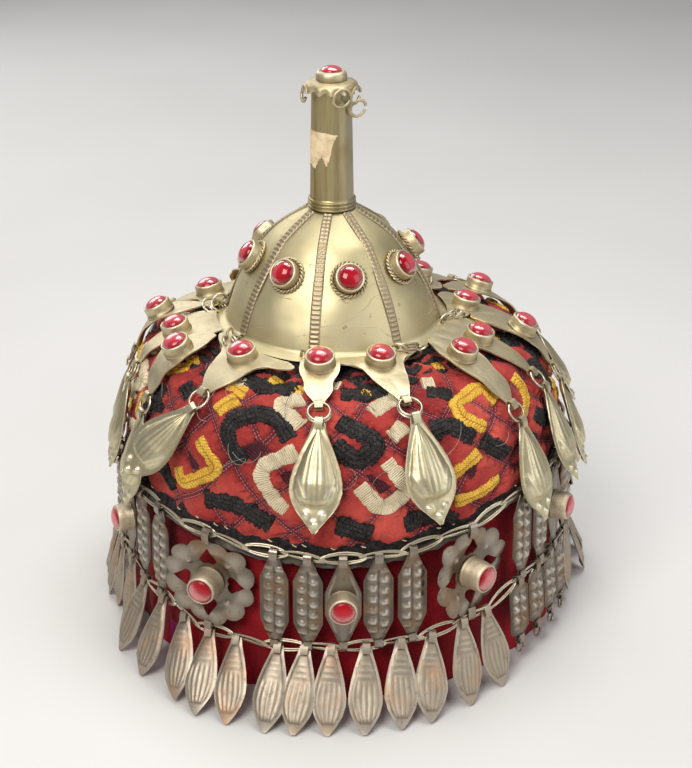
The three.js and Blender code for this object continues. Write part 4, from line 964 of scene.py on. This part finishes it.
def make_ruffle():
    """Ruffled cap of the tube with its cup, a wire ring, bent loops at its edge and the top stone."""
    form, stone = Form(), Form()
    azimuth = ring_of(120)
    fold = crest(13 * azimuth / 360 + 0.5)
    curl = 0.7 * np.sin(np.radians(4 * azimuth + 20))
    # Radius, height and share of the ruffle's folds, outward
    rows = [(6.3, 3.4, 0), (8.0, 3.0, 0), (9.6, 2.6, 0.1), (10.4, 1.9, 0.3), (10.9, 0.8, 0.7),
            (11.2, -0.9, 1)]
    points = [polar(r - w * fold + 0.4 * w * curl, azimuth, SEAT + z + w * (1.3 * fold + 0.4 * curl))
              for r, z, w in rows]
    relief = np.repeat([[0.7], [0.6], [0.4], [0.6], [0.7], [0.9]], len(azimuth), 1)
    form.shell(np.stack(points) + LEANING, 0.5, relief=relief)
    cup = [(0.01, 3.3), (6.3, 3.4), (6.45, 3.8), (6.2, 5.8), (5.6, 6.8), (4.4, 7.0), (4.2, 6.6)]
    form.turned([(r, SEAT + z) for r, z in cup], 40, UPRIGHT, relief=[0.5, 0.2, 0.4, 0.6, 0.9, 0.9, 0.2])
    form.wire(polar(8.9, ring_of(72)[:-1] - 90, SEAT + 2.4) + LEANING, 0.45, 6, True)
    for azimuth, drop, radius in FINIAL_LOOPS:
        outward = polar(1, azimuth, 0)
        centre = polar(11.3 + 0.3 * (drop > 0), azimuth, SEAT - 1.6 - drop) + LEANING
        plane = unit(np.cross(UP, outward) + (0.9 * outward if drop else 0))
        loop_ring(form, centre, plane, unit(UP + [0.15, 0, 0]), radius, LOOP_WIRE, open_by=0.25)
    form.made("finial_ruffle", [PLATES], "plate_metal", ["finial_cap"])
    gem(stone, UPRIGHT, 4.3, SEAT + 6.7, 2.2, 8, 32)
    stone.made("finial_cabochon", [PLATE_STONE], "red_stone", ["finial_stone"])


def make_patch():
    """Torn patch of paper residue on the tube, with a ragged lower edge."""
    azimuth = np.linspace(-96, 16, 45)
    teeth = 0.045 * np.sin(azimuth * 1.1) + 0.03 * np.sin(azimuth * 2.3 + 1)
    ragged = np.interp(azimuth, *zip(*PATCH_EDGE)) + teeth
    down = np.linspace(0, 1, 14)[:, None]
    top = BARREL_FOOT + 28.2 - 0.8 * eased(azimuth, -20, 10)
    low = BARREL_FOOT + 12.8 + 15.4 * np.clip(ragged, 0, 0.94)
    height = top + (low - top) * down
    radius = TUBE_FOOT + (TUBE_TOP - TUBE_FOOT) * (height - BARREL_FOOT) / TUBE_LENGTH + 0.14
    form = Form()
    form.shell(polar(radius, azimuth[None], height) + LEANING, 0.12)
    form.made("paper_patch", [PAPER], "tube_metal")


# Plates and teardrops


def plate_spot(azimuth, radius, turn):
    """Function from places along and across a plate, and a lift above the cap, to points."""
    arc, turn = arc_at(radius), math.radians(turn)

    def spot(along, across, lift):
        along, across = np.asarray(along, float), np.asarray(across, float)
        down = along * math.cos(turn) - across * math.sin(turn)
        sideways = along * math.sin(turn) + across * math.cos(turn)
        return above_cap(azimuth + np.degrees(sideways / (radius + 0.6 * down)), arc + down, lift)

    return spot


def teardrop(form, top, swing, standoff):
    """Stamped teardrop: a fluted shell with two side leaves, a flat border and three dots at its tip."""
    azimuth = azimuth_of(top) + swing
    foot = polar(CAP_RADIUS + DROP_STANDOFF * standoff, azimuth, 0)
    foot[2] = top[2] - math.sqrt(DROP_LENGTH**2 - math.hypot(foot[0] - top[0], foot[1] - top[1]) ** 2)
    up, outward = unit(top - foot), polar(1, azimuth, 0)
    out = unit(outward - up * (outward @ up))
    across = np.cross(up, out)
    u = np.linspace(-1, 1, 41)[None, :]
    v = np.linspace(0, 1, 70)[:, None]
    x, y = u * DROP_HALF_WIDTH * np.interp(v, *zip(*DROP_WIDTHS)), v * DROP_LENGTH
    cup = np.interp(v, *zip(*DROP_CUP))
    inside = np.clip(1 - (x / cup) ** 2, 0, 1) * (v < DROP_CUP_END)
    depth = np.interp(v, [0.05, 0.3, 0.55, 0.7, 0.76], [0.1, 1.7, 3.0, 2.6, 0.9])
    fan = x / cup * np.interp(v, [0.35, 0.76], [1.0, 1.15])
    flutes = np.abs(np.cos(np.pi * 3.0 * fan)) ** 0.7 * inside**0.5
    flutes = flutes * np.interp(v, [0.08, 0.25, 0.6, 0.72, 0.76], [0.05, 0.30, 0.36, 0.16, 0])
    curl = np.abs(x) + 0.42 * (y - 24) - 4.4
    leaf = smooth(curl) * eased(v, 0.42, 0.50) * eased(v, 0.76, 0.70) * inside**0.3
    fine_relief = flutes * (1 - leaf) + leaf * (0.25 + 0.40 * crest(curl / 1.9))
    fine_relief = fine_relief + 0.95 * dots_at(x, y, [(-3.2, 35.2), (3.2, 35.2), (0, 38.6)], 1.15)
    bulge = 0.9 * depth * inside**0.6 + fine_relief + np.abs(u) ** 12 * 0.25
    bend = 0.8 * (1 - u**2) * smooth(v * 4)
    relief = np.clip(0.42 + 0.9 * (fine_relief - 0.2) + 0.15 * (inside <= 0), 0, 1)
    form.shell(placed(top, across, up, out)(spread(x, -y, bulge + bend)), SHEET, spread(x, y), relief)
    tab(form, top + RING_HOLE * up, across, up, out, 3.0, 1.15, 3.0)
    return up


def make_plate(kind, index, spot, rows, lift, front, swing, standoff, bend):
    """Plate with its setting, the ring at its tip and its teardrop. rows gives the places of the
    sheet's grid, along and across."""
    along, across = np.broadcast_arrays(*rows)
    wobble = bend * 0.30 * np.sin(across * 0.35 + index) * np.sin(along * 0.22 + 1)
    edge = np.abs(np.linspace(-1, 1, across.shape[1])) ** 10
    sheet, stone, drop = Form(), Form(), Form()
    sheet.shell(spot(along, across, lift(along) + PLATE + np.abs(wobble)), 0.6, spread(across, along),
                np.broadcast_to(0.55 + 0.35 * edge, across.shape))
    up = unit(spot(-2, 0, lift(-2.0)) - spot(2, 0, lift(2.0)))
    side = unit(spot(0, 2, lift(0.0)) - spot(0, -2, lift(0.0)))
    out = unit(np.cross(side, up))
    place = placed(spot(0, 0, lift(0.0)) + PLATE * out, np.cross(up, out), up, out)
    setting(sheet, stone, place, PLATE_CUP_RADIUS, 4.3)
    hook = spot(front + 0.2, 0, lift(front) + PLATE + 0.5)
    top = spot(front + STRAP, 0, lift(front) + DROP_LIFT)
    down = unit(top - hook)
    sideways = unit(side - down * (side @ down))
    face = np.cross(down, sideways)
    tab(sheet, hook, sideways, -down, face if face @ out > 0 else -face, 3.2, 1.15, 2.6)
    sheet.made(f"{kind}_plate_metal_{index + 1}", [PLATES], "plate_metal", [f"{kind}_plate_{index + 1}"])
    stone.made(f"{kind}_cabochon_{index + 1}", [PLATE_STONE], "red_stone")
    low = top + RING_HOLE * teardrop(drop, top, swing, standoff)
    drop.made(f"{kind}_teardrop_{index + 1}", [DROPS], "plate_metal", [f"{kind}_drop_{index + 1}"])
    loop_ring(RINGS, (hook + low) / 2, down, sideways, np.linalg.norm(low - hook) / 2 + 0.25, RING_WIRE,
              index % 3 != 1)


def falling(root, reach):
    """Lift of a plate that falls from root to the tip's over its reach in front."""
    return lambda down: root + (TIP_LIFT - root) * np.clip(np.asarray(down) / reach, 0, 1)


def make_plates():
    across = np.linspace(-1, 1, 19)[None, :]
    bow = np.abs(across)
    for index, (azimuth, radius, turn, span, back, swing, standoff) in enumerate(WINGS):
        rows = [(near, far, back if near < 0 else WING_TONGUE, width) for near, far, width in WING_ROWS]
        wing = spline([(near * reach, far * reach, width) for near, far, reach, width in rows], 30)
        along = wing[:, :1] * (1 - bow) + wing[:, 1:2] * bow
        make_plate("wing", index, plate_spot(azimuth, radius, turn), (along, across * wing[:, 2:] * span),
                   falling(WING_LIFT, WING_TONGUE), WING_TONGUE, swing, standoff, 1.0)
    leaf = spline(LEAF_ROWS, 30)
    for index, (azimuth, radius, turn, front, back, swing, standoff) in enumerate(LEAVES):
        along = np.where(leaf[:, :1] < 0, leaf[:, :1] * back, leaf[:, :1] * front)
        make_plate("leaf", index, plate_spot(azimuth, radius, turn),
                   (along, across * leaf[:, 1:] * LEAF_HALF_WIDTH),
                   falling(WING_LIFT + PLATE + 2 * GAP, front), front, swing, standoff, 0.8)


def make_dome_rings():
    """Loops and rings at the feet of the dome's ribs."""
    for k in range(RIBS):
        azimuth = RIB_AZIMUTH + PANEL_TURN * k
        outward, side = polar(1, azimuth, 0), polar(1, azimuth + 90, 0)
        foot = polar(DOME_RADIUS + 1.6, azimuth, DOME_FOOT + 3.0) + LEANING
        tab(RINGS, foot, side, unit(UP - 0.3 * outward), outward, 3.0, 1.3, 2.6)
        for shift, reach, radius in ((-1, 2.4, 3.5), (1, 2.2, 3.4), (0.3, 5.6, 3.8), (2.6, 4.2, 3.3)):
            centre = foot + outward * reach + side * 2.8 * shift - 0.25 * reach * UP
            first = unit(side + (0.9 - 0.5 * shift) * outward)
            loop_ring(RINGS, centre, first, unit(UP + (0.6 + 0.5 * shift) * outward), radius, LOOP_WIRE,
                      shift == 1)


# Fringe


def upper_point(azimuth):
    return polar(UPPER_RADIUS, azimuth, CAP_RIM + UPPER_RISE + CAP_RISE * around(RIM_LIFT, azimuth))


def lower_point(azimuth):
    return polar(LOWER_RADIUS, azimuth, FRINGE_LENGTH * around(LOWER_HEIGHT, azimuth))


def make_chain(name, point_at, phase):
    """Links of doubled wire, each a long loop with a waist, turned left and right in turn."""
    form = Form()
    pitch = 360 / CHAIN_LINKS
    turn = np.linspace(0, TURN, 37)[:-1]
    rng = np.random.default_rng(17)
    for k in range(CHAIN_LINKS):
        azimuth = (k + phase) * pitch
        ends = point_at(np.array([azimuth - pitch / 2, azimuth + pitch / 2]))
        length, along = np.linalg.norm(ends[1] - ends[0]), unit(ends[1] - ends[0])
        outward = polar(1, azimuth, 0)
        lean = (0.42 if k % 2 else -0.30) + rng.uniform(-0.18, 0.18)
        wide = unit(np.cross(outward, along)) * math.cos(lean) + outward * math.sin(lean)
        flat = np.cross(along, wide)
        sway = rng.uniform(-0.25, 0.25)
        for width, longer in ((2.3, 1.4), (1.5, 0.9)):
            x = (length / 2 + longer) * np.cos(turn)
            y = width * np.sign(np.sin(turn)) * np.abs(np.sin(turn)) ** 1.25 + sway * np.cos(turn)
            over = 0.75 * np.cos(turn) * (1 if k % 2 else -1) + 0.25 * np.sin(2 * turn + width)
            form.wire(placed(ends.mean(0), along, wide, flat)(spread(x, y, over)), CHAIN_WIRE, 6, True, flat)
    form.made(name, [WIRE], "fringe_metal")


def panel_place(azimuth):
    """Upper and lower end of a panel between the chains, and its directions."""
    high, low, across = upper_point(azimuth), lower_point(azimuth), polar(1, azimuth + 90, 0)
    up = unit(high - low)
    return high, low, across, up, np.cross(across, up)


def ribbed_plate(form, high, low, across, up, out, half=PANEL_HALF, bumps=True, shoulder=9.5):
    """Long eight-sided plate with two columns of punched bumps, folded round a chain at its ends."""
    end = np.linalg.norm(high - low) / 2 - 1.6
    u = np.linspace(-1, 1, 17)[None, :]
    y = np.linspace(end, -end, 46)[:, None]
    x = u * np.interp(np.abs(y), [0, min(shoulder, end - 3), end], [half, half, 1.7])
    if bumps:
        column = np.exp(-(((np.abs(x) - BUMP_COLUMN) / 1.65) ** 4))
        column = column * crest(y / BUMP_PITCH + 0.8 * np.sign(x) / TURN) ** 0.8
        height = (1.25 * column - 0.35 * np.exp(-((x / 0.5) ** 2))) * smooth((end - 3.6 - np.abs(y)) / 2)
    else:
        height = 0.5 * np.exp(-(((np.abs(u) - 0.75) / 0.12) ** 2)) * smooth((end - 4 - np.abs(y)) / 2)
    height = height + 0.5 * (1 - u**2) + 0.25 * np.abs(u) ** 10
    points = placed((high + low) / 2, across, up, out)(spread(x, y, height))
    form.shell(points, SHEET, spread(x, y), np.clip(0.10 + 0.55 * height, 0, 1))
    tab(form, high, across, up, out, 3.2, 1.5, 2.8)
    tab(form, low, across, -up, out, 3.2, 1.5, 2.8)


def make_ribbed():
    to_degrees = math.degrees(1 / UPPER_RADIUS)
    first = (LOZENGE_HALF + PANEL_HALF + 2 * GAP) * to_degrees
    second = first + (2 * PANEL_HALF + PANEL_GAP) * to_degrees
    form = Form()
    for azimuth in [a + b for a in LOZENGES for b in (-second, -first, first, second)] + EXTRA_RIBBED:
        ribbed_plate(form, *panel_place(azimuth))
    form.made("ribbed_plates", [FRINGE], "fringe_metal", ["upper_chain"])


def make_lozenges():
    for index, azimuth in enumerate(LOZENGES):
        form, stone = Form(), Form()
        high, low, *directions = panel_place(azimuth)
        ribbed_plate(form, high, low, *directions, LOZENGE_HALF, False, 5.0)
        place = placed((high + low) / 2, *directions)
        form.turned(LOZENGE_CUP, 30, place, 1, [0.2, 0.5, 0.2, 0.5, 0.3, 0.6, 0.75, 0.9, 0.9, 0.1])
        gem(stone, place, 4.8, 6.5, 2.0, sides=28)
        form.made(f"lozenge_{index + 1}", [FRINGE, CUPS], "fringe_metal", [f"stone_lozenge_{index + 1}"])
        stone.made(f"lozenge_cabochon_{index + 1}", [FRINGE_STONE], "red_stone")


def cut_sheet(inside, size, step):
    """Quads of a flat sheet where inside(x, y) is below zero, its edge points moved onto the outline."""
    ticks = np.arange(-size, size + step, step)
    n = len(ticks)
    x, y = (a.ravel() for a in np.meshgrid(ticks, ticks))
    index = np.arange(n * n).reshape(n, n)
    corners = (index[:-1, :-1], index[:-1, 1:], index[1:, 1:], index[1:, :-1])
    quads = np.stack([corner.ravel() for corner in corners], -1)
    quads = quads[inside(x[quads].mean(1), y[quads].mean(1)) < 0]
    directed = np.stack([quads, np.roll(quads, -1, 1)], -1).reshape(-1, 2)
    unique, counts = np.unique(np.sort(directed, 1), axis=0, return_counts=True)
    border = np.unique(unique[counts == 1])
    h = 0.05
    for _ in range(4):
        bx, by = x[border], y[border]
        gx = (inside(bx + h, by) - inside(bx - h, by)) / (2 * h)
        gy = (inside(bx, by + h) - inside(bx, by - h)) / (2 * h)
        move = np.clip(inside(bx, by) / np.maximum(gx**2 + gy**2, 0.2), -step * 0.6, step * 0.6)
        x[border] -= move * gx
        y[border] -= move * gy
    keys = {tuple(edge) for edge in unique[counts == 1].tolist()}
    rim = np.array([edge for edge in directed.tolist() if tuple(sorted(edge)) in keys])
    used = np.unique(quads)
    new = np.full(n * n, -1)
    new[used] = np.arange(len(used))
    return x[used], y[used], new[quads], new[rim]


PETALS = [polar(14.2 if k % 6 in (0, 5) else 15.1, 15 + 30 * k, 0)[:2] for k in range(12)]


def rosette_inside(x, y):
    """Below zero inside a disc with twelve petals, a strip at top and bottom and four heart-shaped holes."""
    outer = np.hypot(x, y) - 15.2
    for px, py in PETALS:
        outer = np.minimum(outer, np.hypot(x - px, y - py) - PETAL_RADIUS)
    for sign in (-1, 1):
        outer = np.minimum(outer, np.maximum(np.abs(x) - 1.7, np.abs(y * sign - 18.5) - 2.6))
    for c, s in ((1, 0), (0, 1), (-1, 0), (0, -1)):
        along, across = x * c + y * s - HEART_REACH, np.abs(-x * s + y * c)
        t = np.clip(along / HEART_LENGTH, 0, 1)
        hole = np.hypot(along - HEART_LENGTH * t, across - 1.5 * (1 - t)) - (2.15 - 1.9 * t)
        outer = np.maximum(outer, -hole)
    return outer


def dots_at(x, y, places, size):
    return sum(np.exp(-(((x - dx) / size) ** 2) - ((y - dy) / size) ** 2) for dx, dy in places)


def make_rosettes():
    x, y, quads, rim = cut_sheet(rosette_inside, 22.5, 0.62)
    radius, turn = np.hypot(x, y), np.arctan2(y, x)
    to_petal = np.min([np.hypot(x - px, y - py) for px, py in PETALS], axis=0)
    hollow = np.clip(1 - (to_petal / 5.4) ** 2, 0, 1) * eased(radius, 11, 14)
    diagonal = DOT_REACH / math.sqrt(2)
    dots = dots_at(x, y, [(a * diagonal, b * diagonal) for a in (1, -1) for b in (1, -1)], 0.9)
    height = 0.75 * hollow + dots - 0.4 * eased(radius, 11, 9)
    relief = np.clip(0.30 + 0.25 * hollow + 0.6 * dots, 0, 1)
    for index, azimuth in enumerate(ROSETTES):
        form, stone = Form(), Form()
        high, low, across, up, out = panel_place(azimuth)
        turned = math.radians(ROSETTE_TURNS.get(azimuth, 0))
        face = out * math.cos(turned) + across * math.sin(turned)
        place = placed((high + low) / 2, np.cross(up, face), up, face)
        share = radius / ROSETTE_RADIUS
        bend = 1.1 * np.sin(2 * turn + index) * share**2 + 0.5 * np.sin(5 * turn + 2 * index) * share**4
        front = place(spread(x, y, height + bend))
        back = front - 0.5 * face
        form.add(front, quads, spread(x, y), relief)
        form.add(back, quads[:, ::-1], spread(x, y), relief)
        wall = np.hstack([rim[:, ::-1], rim + len(front)])
        form.add(np.vstack([front, back]), wall, None, np.full(2 * len(front), EDGE_RELIEF))
        form.turned(ROSETTE_CUP, 36, place, 1, [0.2, 0.5, 0.25, 0.5, 0.65, 0.85, 0.8, 0.6, 0.05])
        gem(stone, place, 5.05, 7.9, 2.1)
        tab(form, high, across, up, out, 3.4, 1.6, 4.5)
        tab(form, low, across, -up, out, 3.4, 1.6, 4.5)
        form.made(f"rosette_metal_{index + 1}", [FRINGE, CUPS], "fringe_metal", [f"rosette_{index + 1}"])
        stone.made(f"rosette_cabochon_{index + 1}", [FRINGE_STONE], "red_stone")


def hang_place(azimuth, swing=0.0):
    """Top and directions of a drop that hangs from the lower chain, its tip on the table where it is low."""
    top = lower_point(azimuth)
    fall = min(top[2] - FRINGE_TIP, 0.995 * FRINGE_LENGTH)
    tip = polar(LOWER_RADIUS + math.sqrt(FRINGE_LENGTH**2 - fall**2), azimuth, top[2] - fall)
    up, across = unit(top - tip), polar(1, azimuth + 90, 0)
    out = np.cross(across, up)
    c, s = math.cos(math.radians(swing)), math.sin(math.radians(swing))
    up = up * c - across * s
    return top, np.cross(up, out), up, out


def fringe_drop(form, azimuth, swing):
    """Long leaf with short bars above and flutes below, inside a flat border."""
    top, across, up, out = hang_place(azimuth, swing)
    u = np.linspace(-1, 1, 25)[None, :]
    v = np.linspace(0, 1, 48)[:, None]
    half = FRINGE_HALF_WIDTH * np.interp(v, *zip(*FRINGE_WIDTHS))
    x, y = u * half, v * FRINGE_LENGTH
    field = eased(half - np.abs(x), 0.9, 1.7) * eased(v, 0.90, 0.84) * eased(v, 0.08, 0.13)
    bars = crest(y / 2.4) * eased(v, 0.46, 0.36) * eased(v, 0.14, 0.22) * np.exp(-((x / (0.55 * half)) ** 4))
    flutes = crest(3.0 * (u + 0.07 * np.sin(5 * v + azimuth))) * eased(v, 0.38, 0.48)
    worn = 0.75 + 0.25 * np.sin(0.45 * y + 2 * azimuth) * np.cos(0.6 * x + azimuth)
    relief = field * (worn * (0.34 * bars + 0.42 * flutes) + 0.3)
    warp = 0.5 * np.sin(0.13 * y + 0.7 * azimuth) * np.cos(0.3 * x + azimuth)
    height = relief + 0.7 * (1 - u**2) * smooth(v * 5) * smooth((1 - v) * 6) + warp
    shade = np.clip(np.where(field < 0.3, 0.7, 0.15 + 0.8 * relief), 0, 1)
    form.shell(placed(top, across, up, out)(spread(x, -y, height)), SHEET, spread(x, y), shade)
    tab(form, top, across, up, out, 3.0, 1.4, 3.2)


def make_lower_fringe():
    rng = np.random.default_rng(40)
    form, side = Form(), Form()
    swings = dict(zip(FRONT_DROPS, FRONT_SWINGS))
    for azimuth in [*FRONT_DROPS, *BACK_DROPS]:
        fringe_drop(form, azimuth, swings.get(azimuth, float(rng.uniform(-7, 7))))
    form.made("long_drops", [LONG_DROPS], "drop_metal", ["lower_chain"])
    for azimuth in SIDE_PLATES:
        top, across, up, out = hang_place(azimuth)
        ribbed_plate(side, top, top - up * SIDE_PLATE_LENGTH, across, up, out)
        loop_ring(side, top - up * SIDE_RING_FALL, across, up, SIDE_RING_RADIUS, RING_WIRE)
    side.made("side_plates", [FRINGE], "fringe_metal")


# Stage


def area_light(name, place, size, power, colour=(1, 1, 1)):
    data = bpy.data.lights.new(name, "AREA")
    data.shape = "RECTANGLE"
    data.size, data.size_y = size
    data.energy = power
    data.color = colour
    light = bpy.data.objects.new(name, data)
    light.location = place
    light.rotation_euler = (Vector(LIGHT_TARGET) - Vector(place)).to_track_quat("-Z", "Y").to_euler()
    bpy.context.scene.collection.objects.link(light)


def make_stage():
    scene = bpy.context.scene
    data = bpy.data.cameras.new("camera")
    data.sensor_fit = "VERTICAL"
    data.sensor_height = 36
    data.lens = CAMERA_LENS
    camera = bpy.data.objects.new("camera", data)
    camera.location = CAMERA_PLACE
    camera.rotation_euler = (math.radians(90 - CAMERA_DOWN), 0, 0)
    scene.collection.objects.link(camera)
    scene.camera = camera

    mesh = bpy.data.meshes.new("floor")
    mesh.from_pydata([(-4, -4, 0), (4, -4, 0), (4, 4, 0), (-4, 4, 0)], [], [(0, 1, 2, 3)])
    mesh.materials.append(FLOOR)
    floor = bpy.data.objects.new("floor", mesh)
    scene.collection.objects.link(floor)

    world = bpy.data.worlds.new("studio")
    world.use_nodes = True
    world.node_tree.nodes["Background"].inputs["Color"].default_value = (0.80, 0.80, 0.82, 1)
    world.node_tree.nodes["Background"].inputs["Strength"].default_value = 0.38
    scene.world = world
    area_light("key", (-0.40, -0.80, 1.05), (0.62, 0.62), 12.5, (1, 0.97, 0.93))
    area_light("fill", (0.95, -0.55, 0.55), (0.7, 0.9), 4.0, (0.97, 0.98, 1))
    area_light("top", (0.10, 0.20, 1.20), (0.8, 0.5), 8)
    area_light("back", (-0.6, 1.0, 0.7), (0.8, 0.6), 4)
    scene.view_settings.view_transform = "Standard"


make_stage()
RINGS = Form()
make_cap()
make_embroidery()
make_edging()
make_roll()
make_band()
make_threads()
make_dome()
make_dome_stones()
make_barrel()
make_ruffle()
make_patch()
make_plates()
make_dome_rings()
RINGS.made("jump_rings", [WIRE], "plate_metal")
make_chain("upper_chain_links", upper_point, 0.0)
make_chain("lower_chain_links", lower_point, 0.5)
make_ribbed()
make_lozenges()
make_rosettes()
make_lower_fringe()
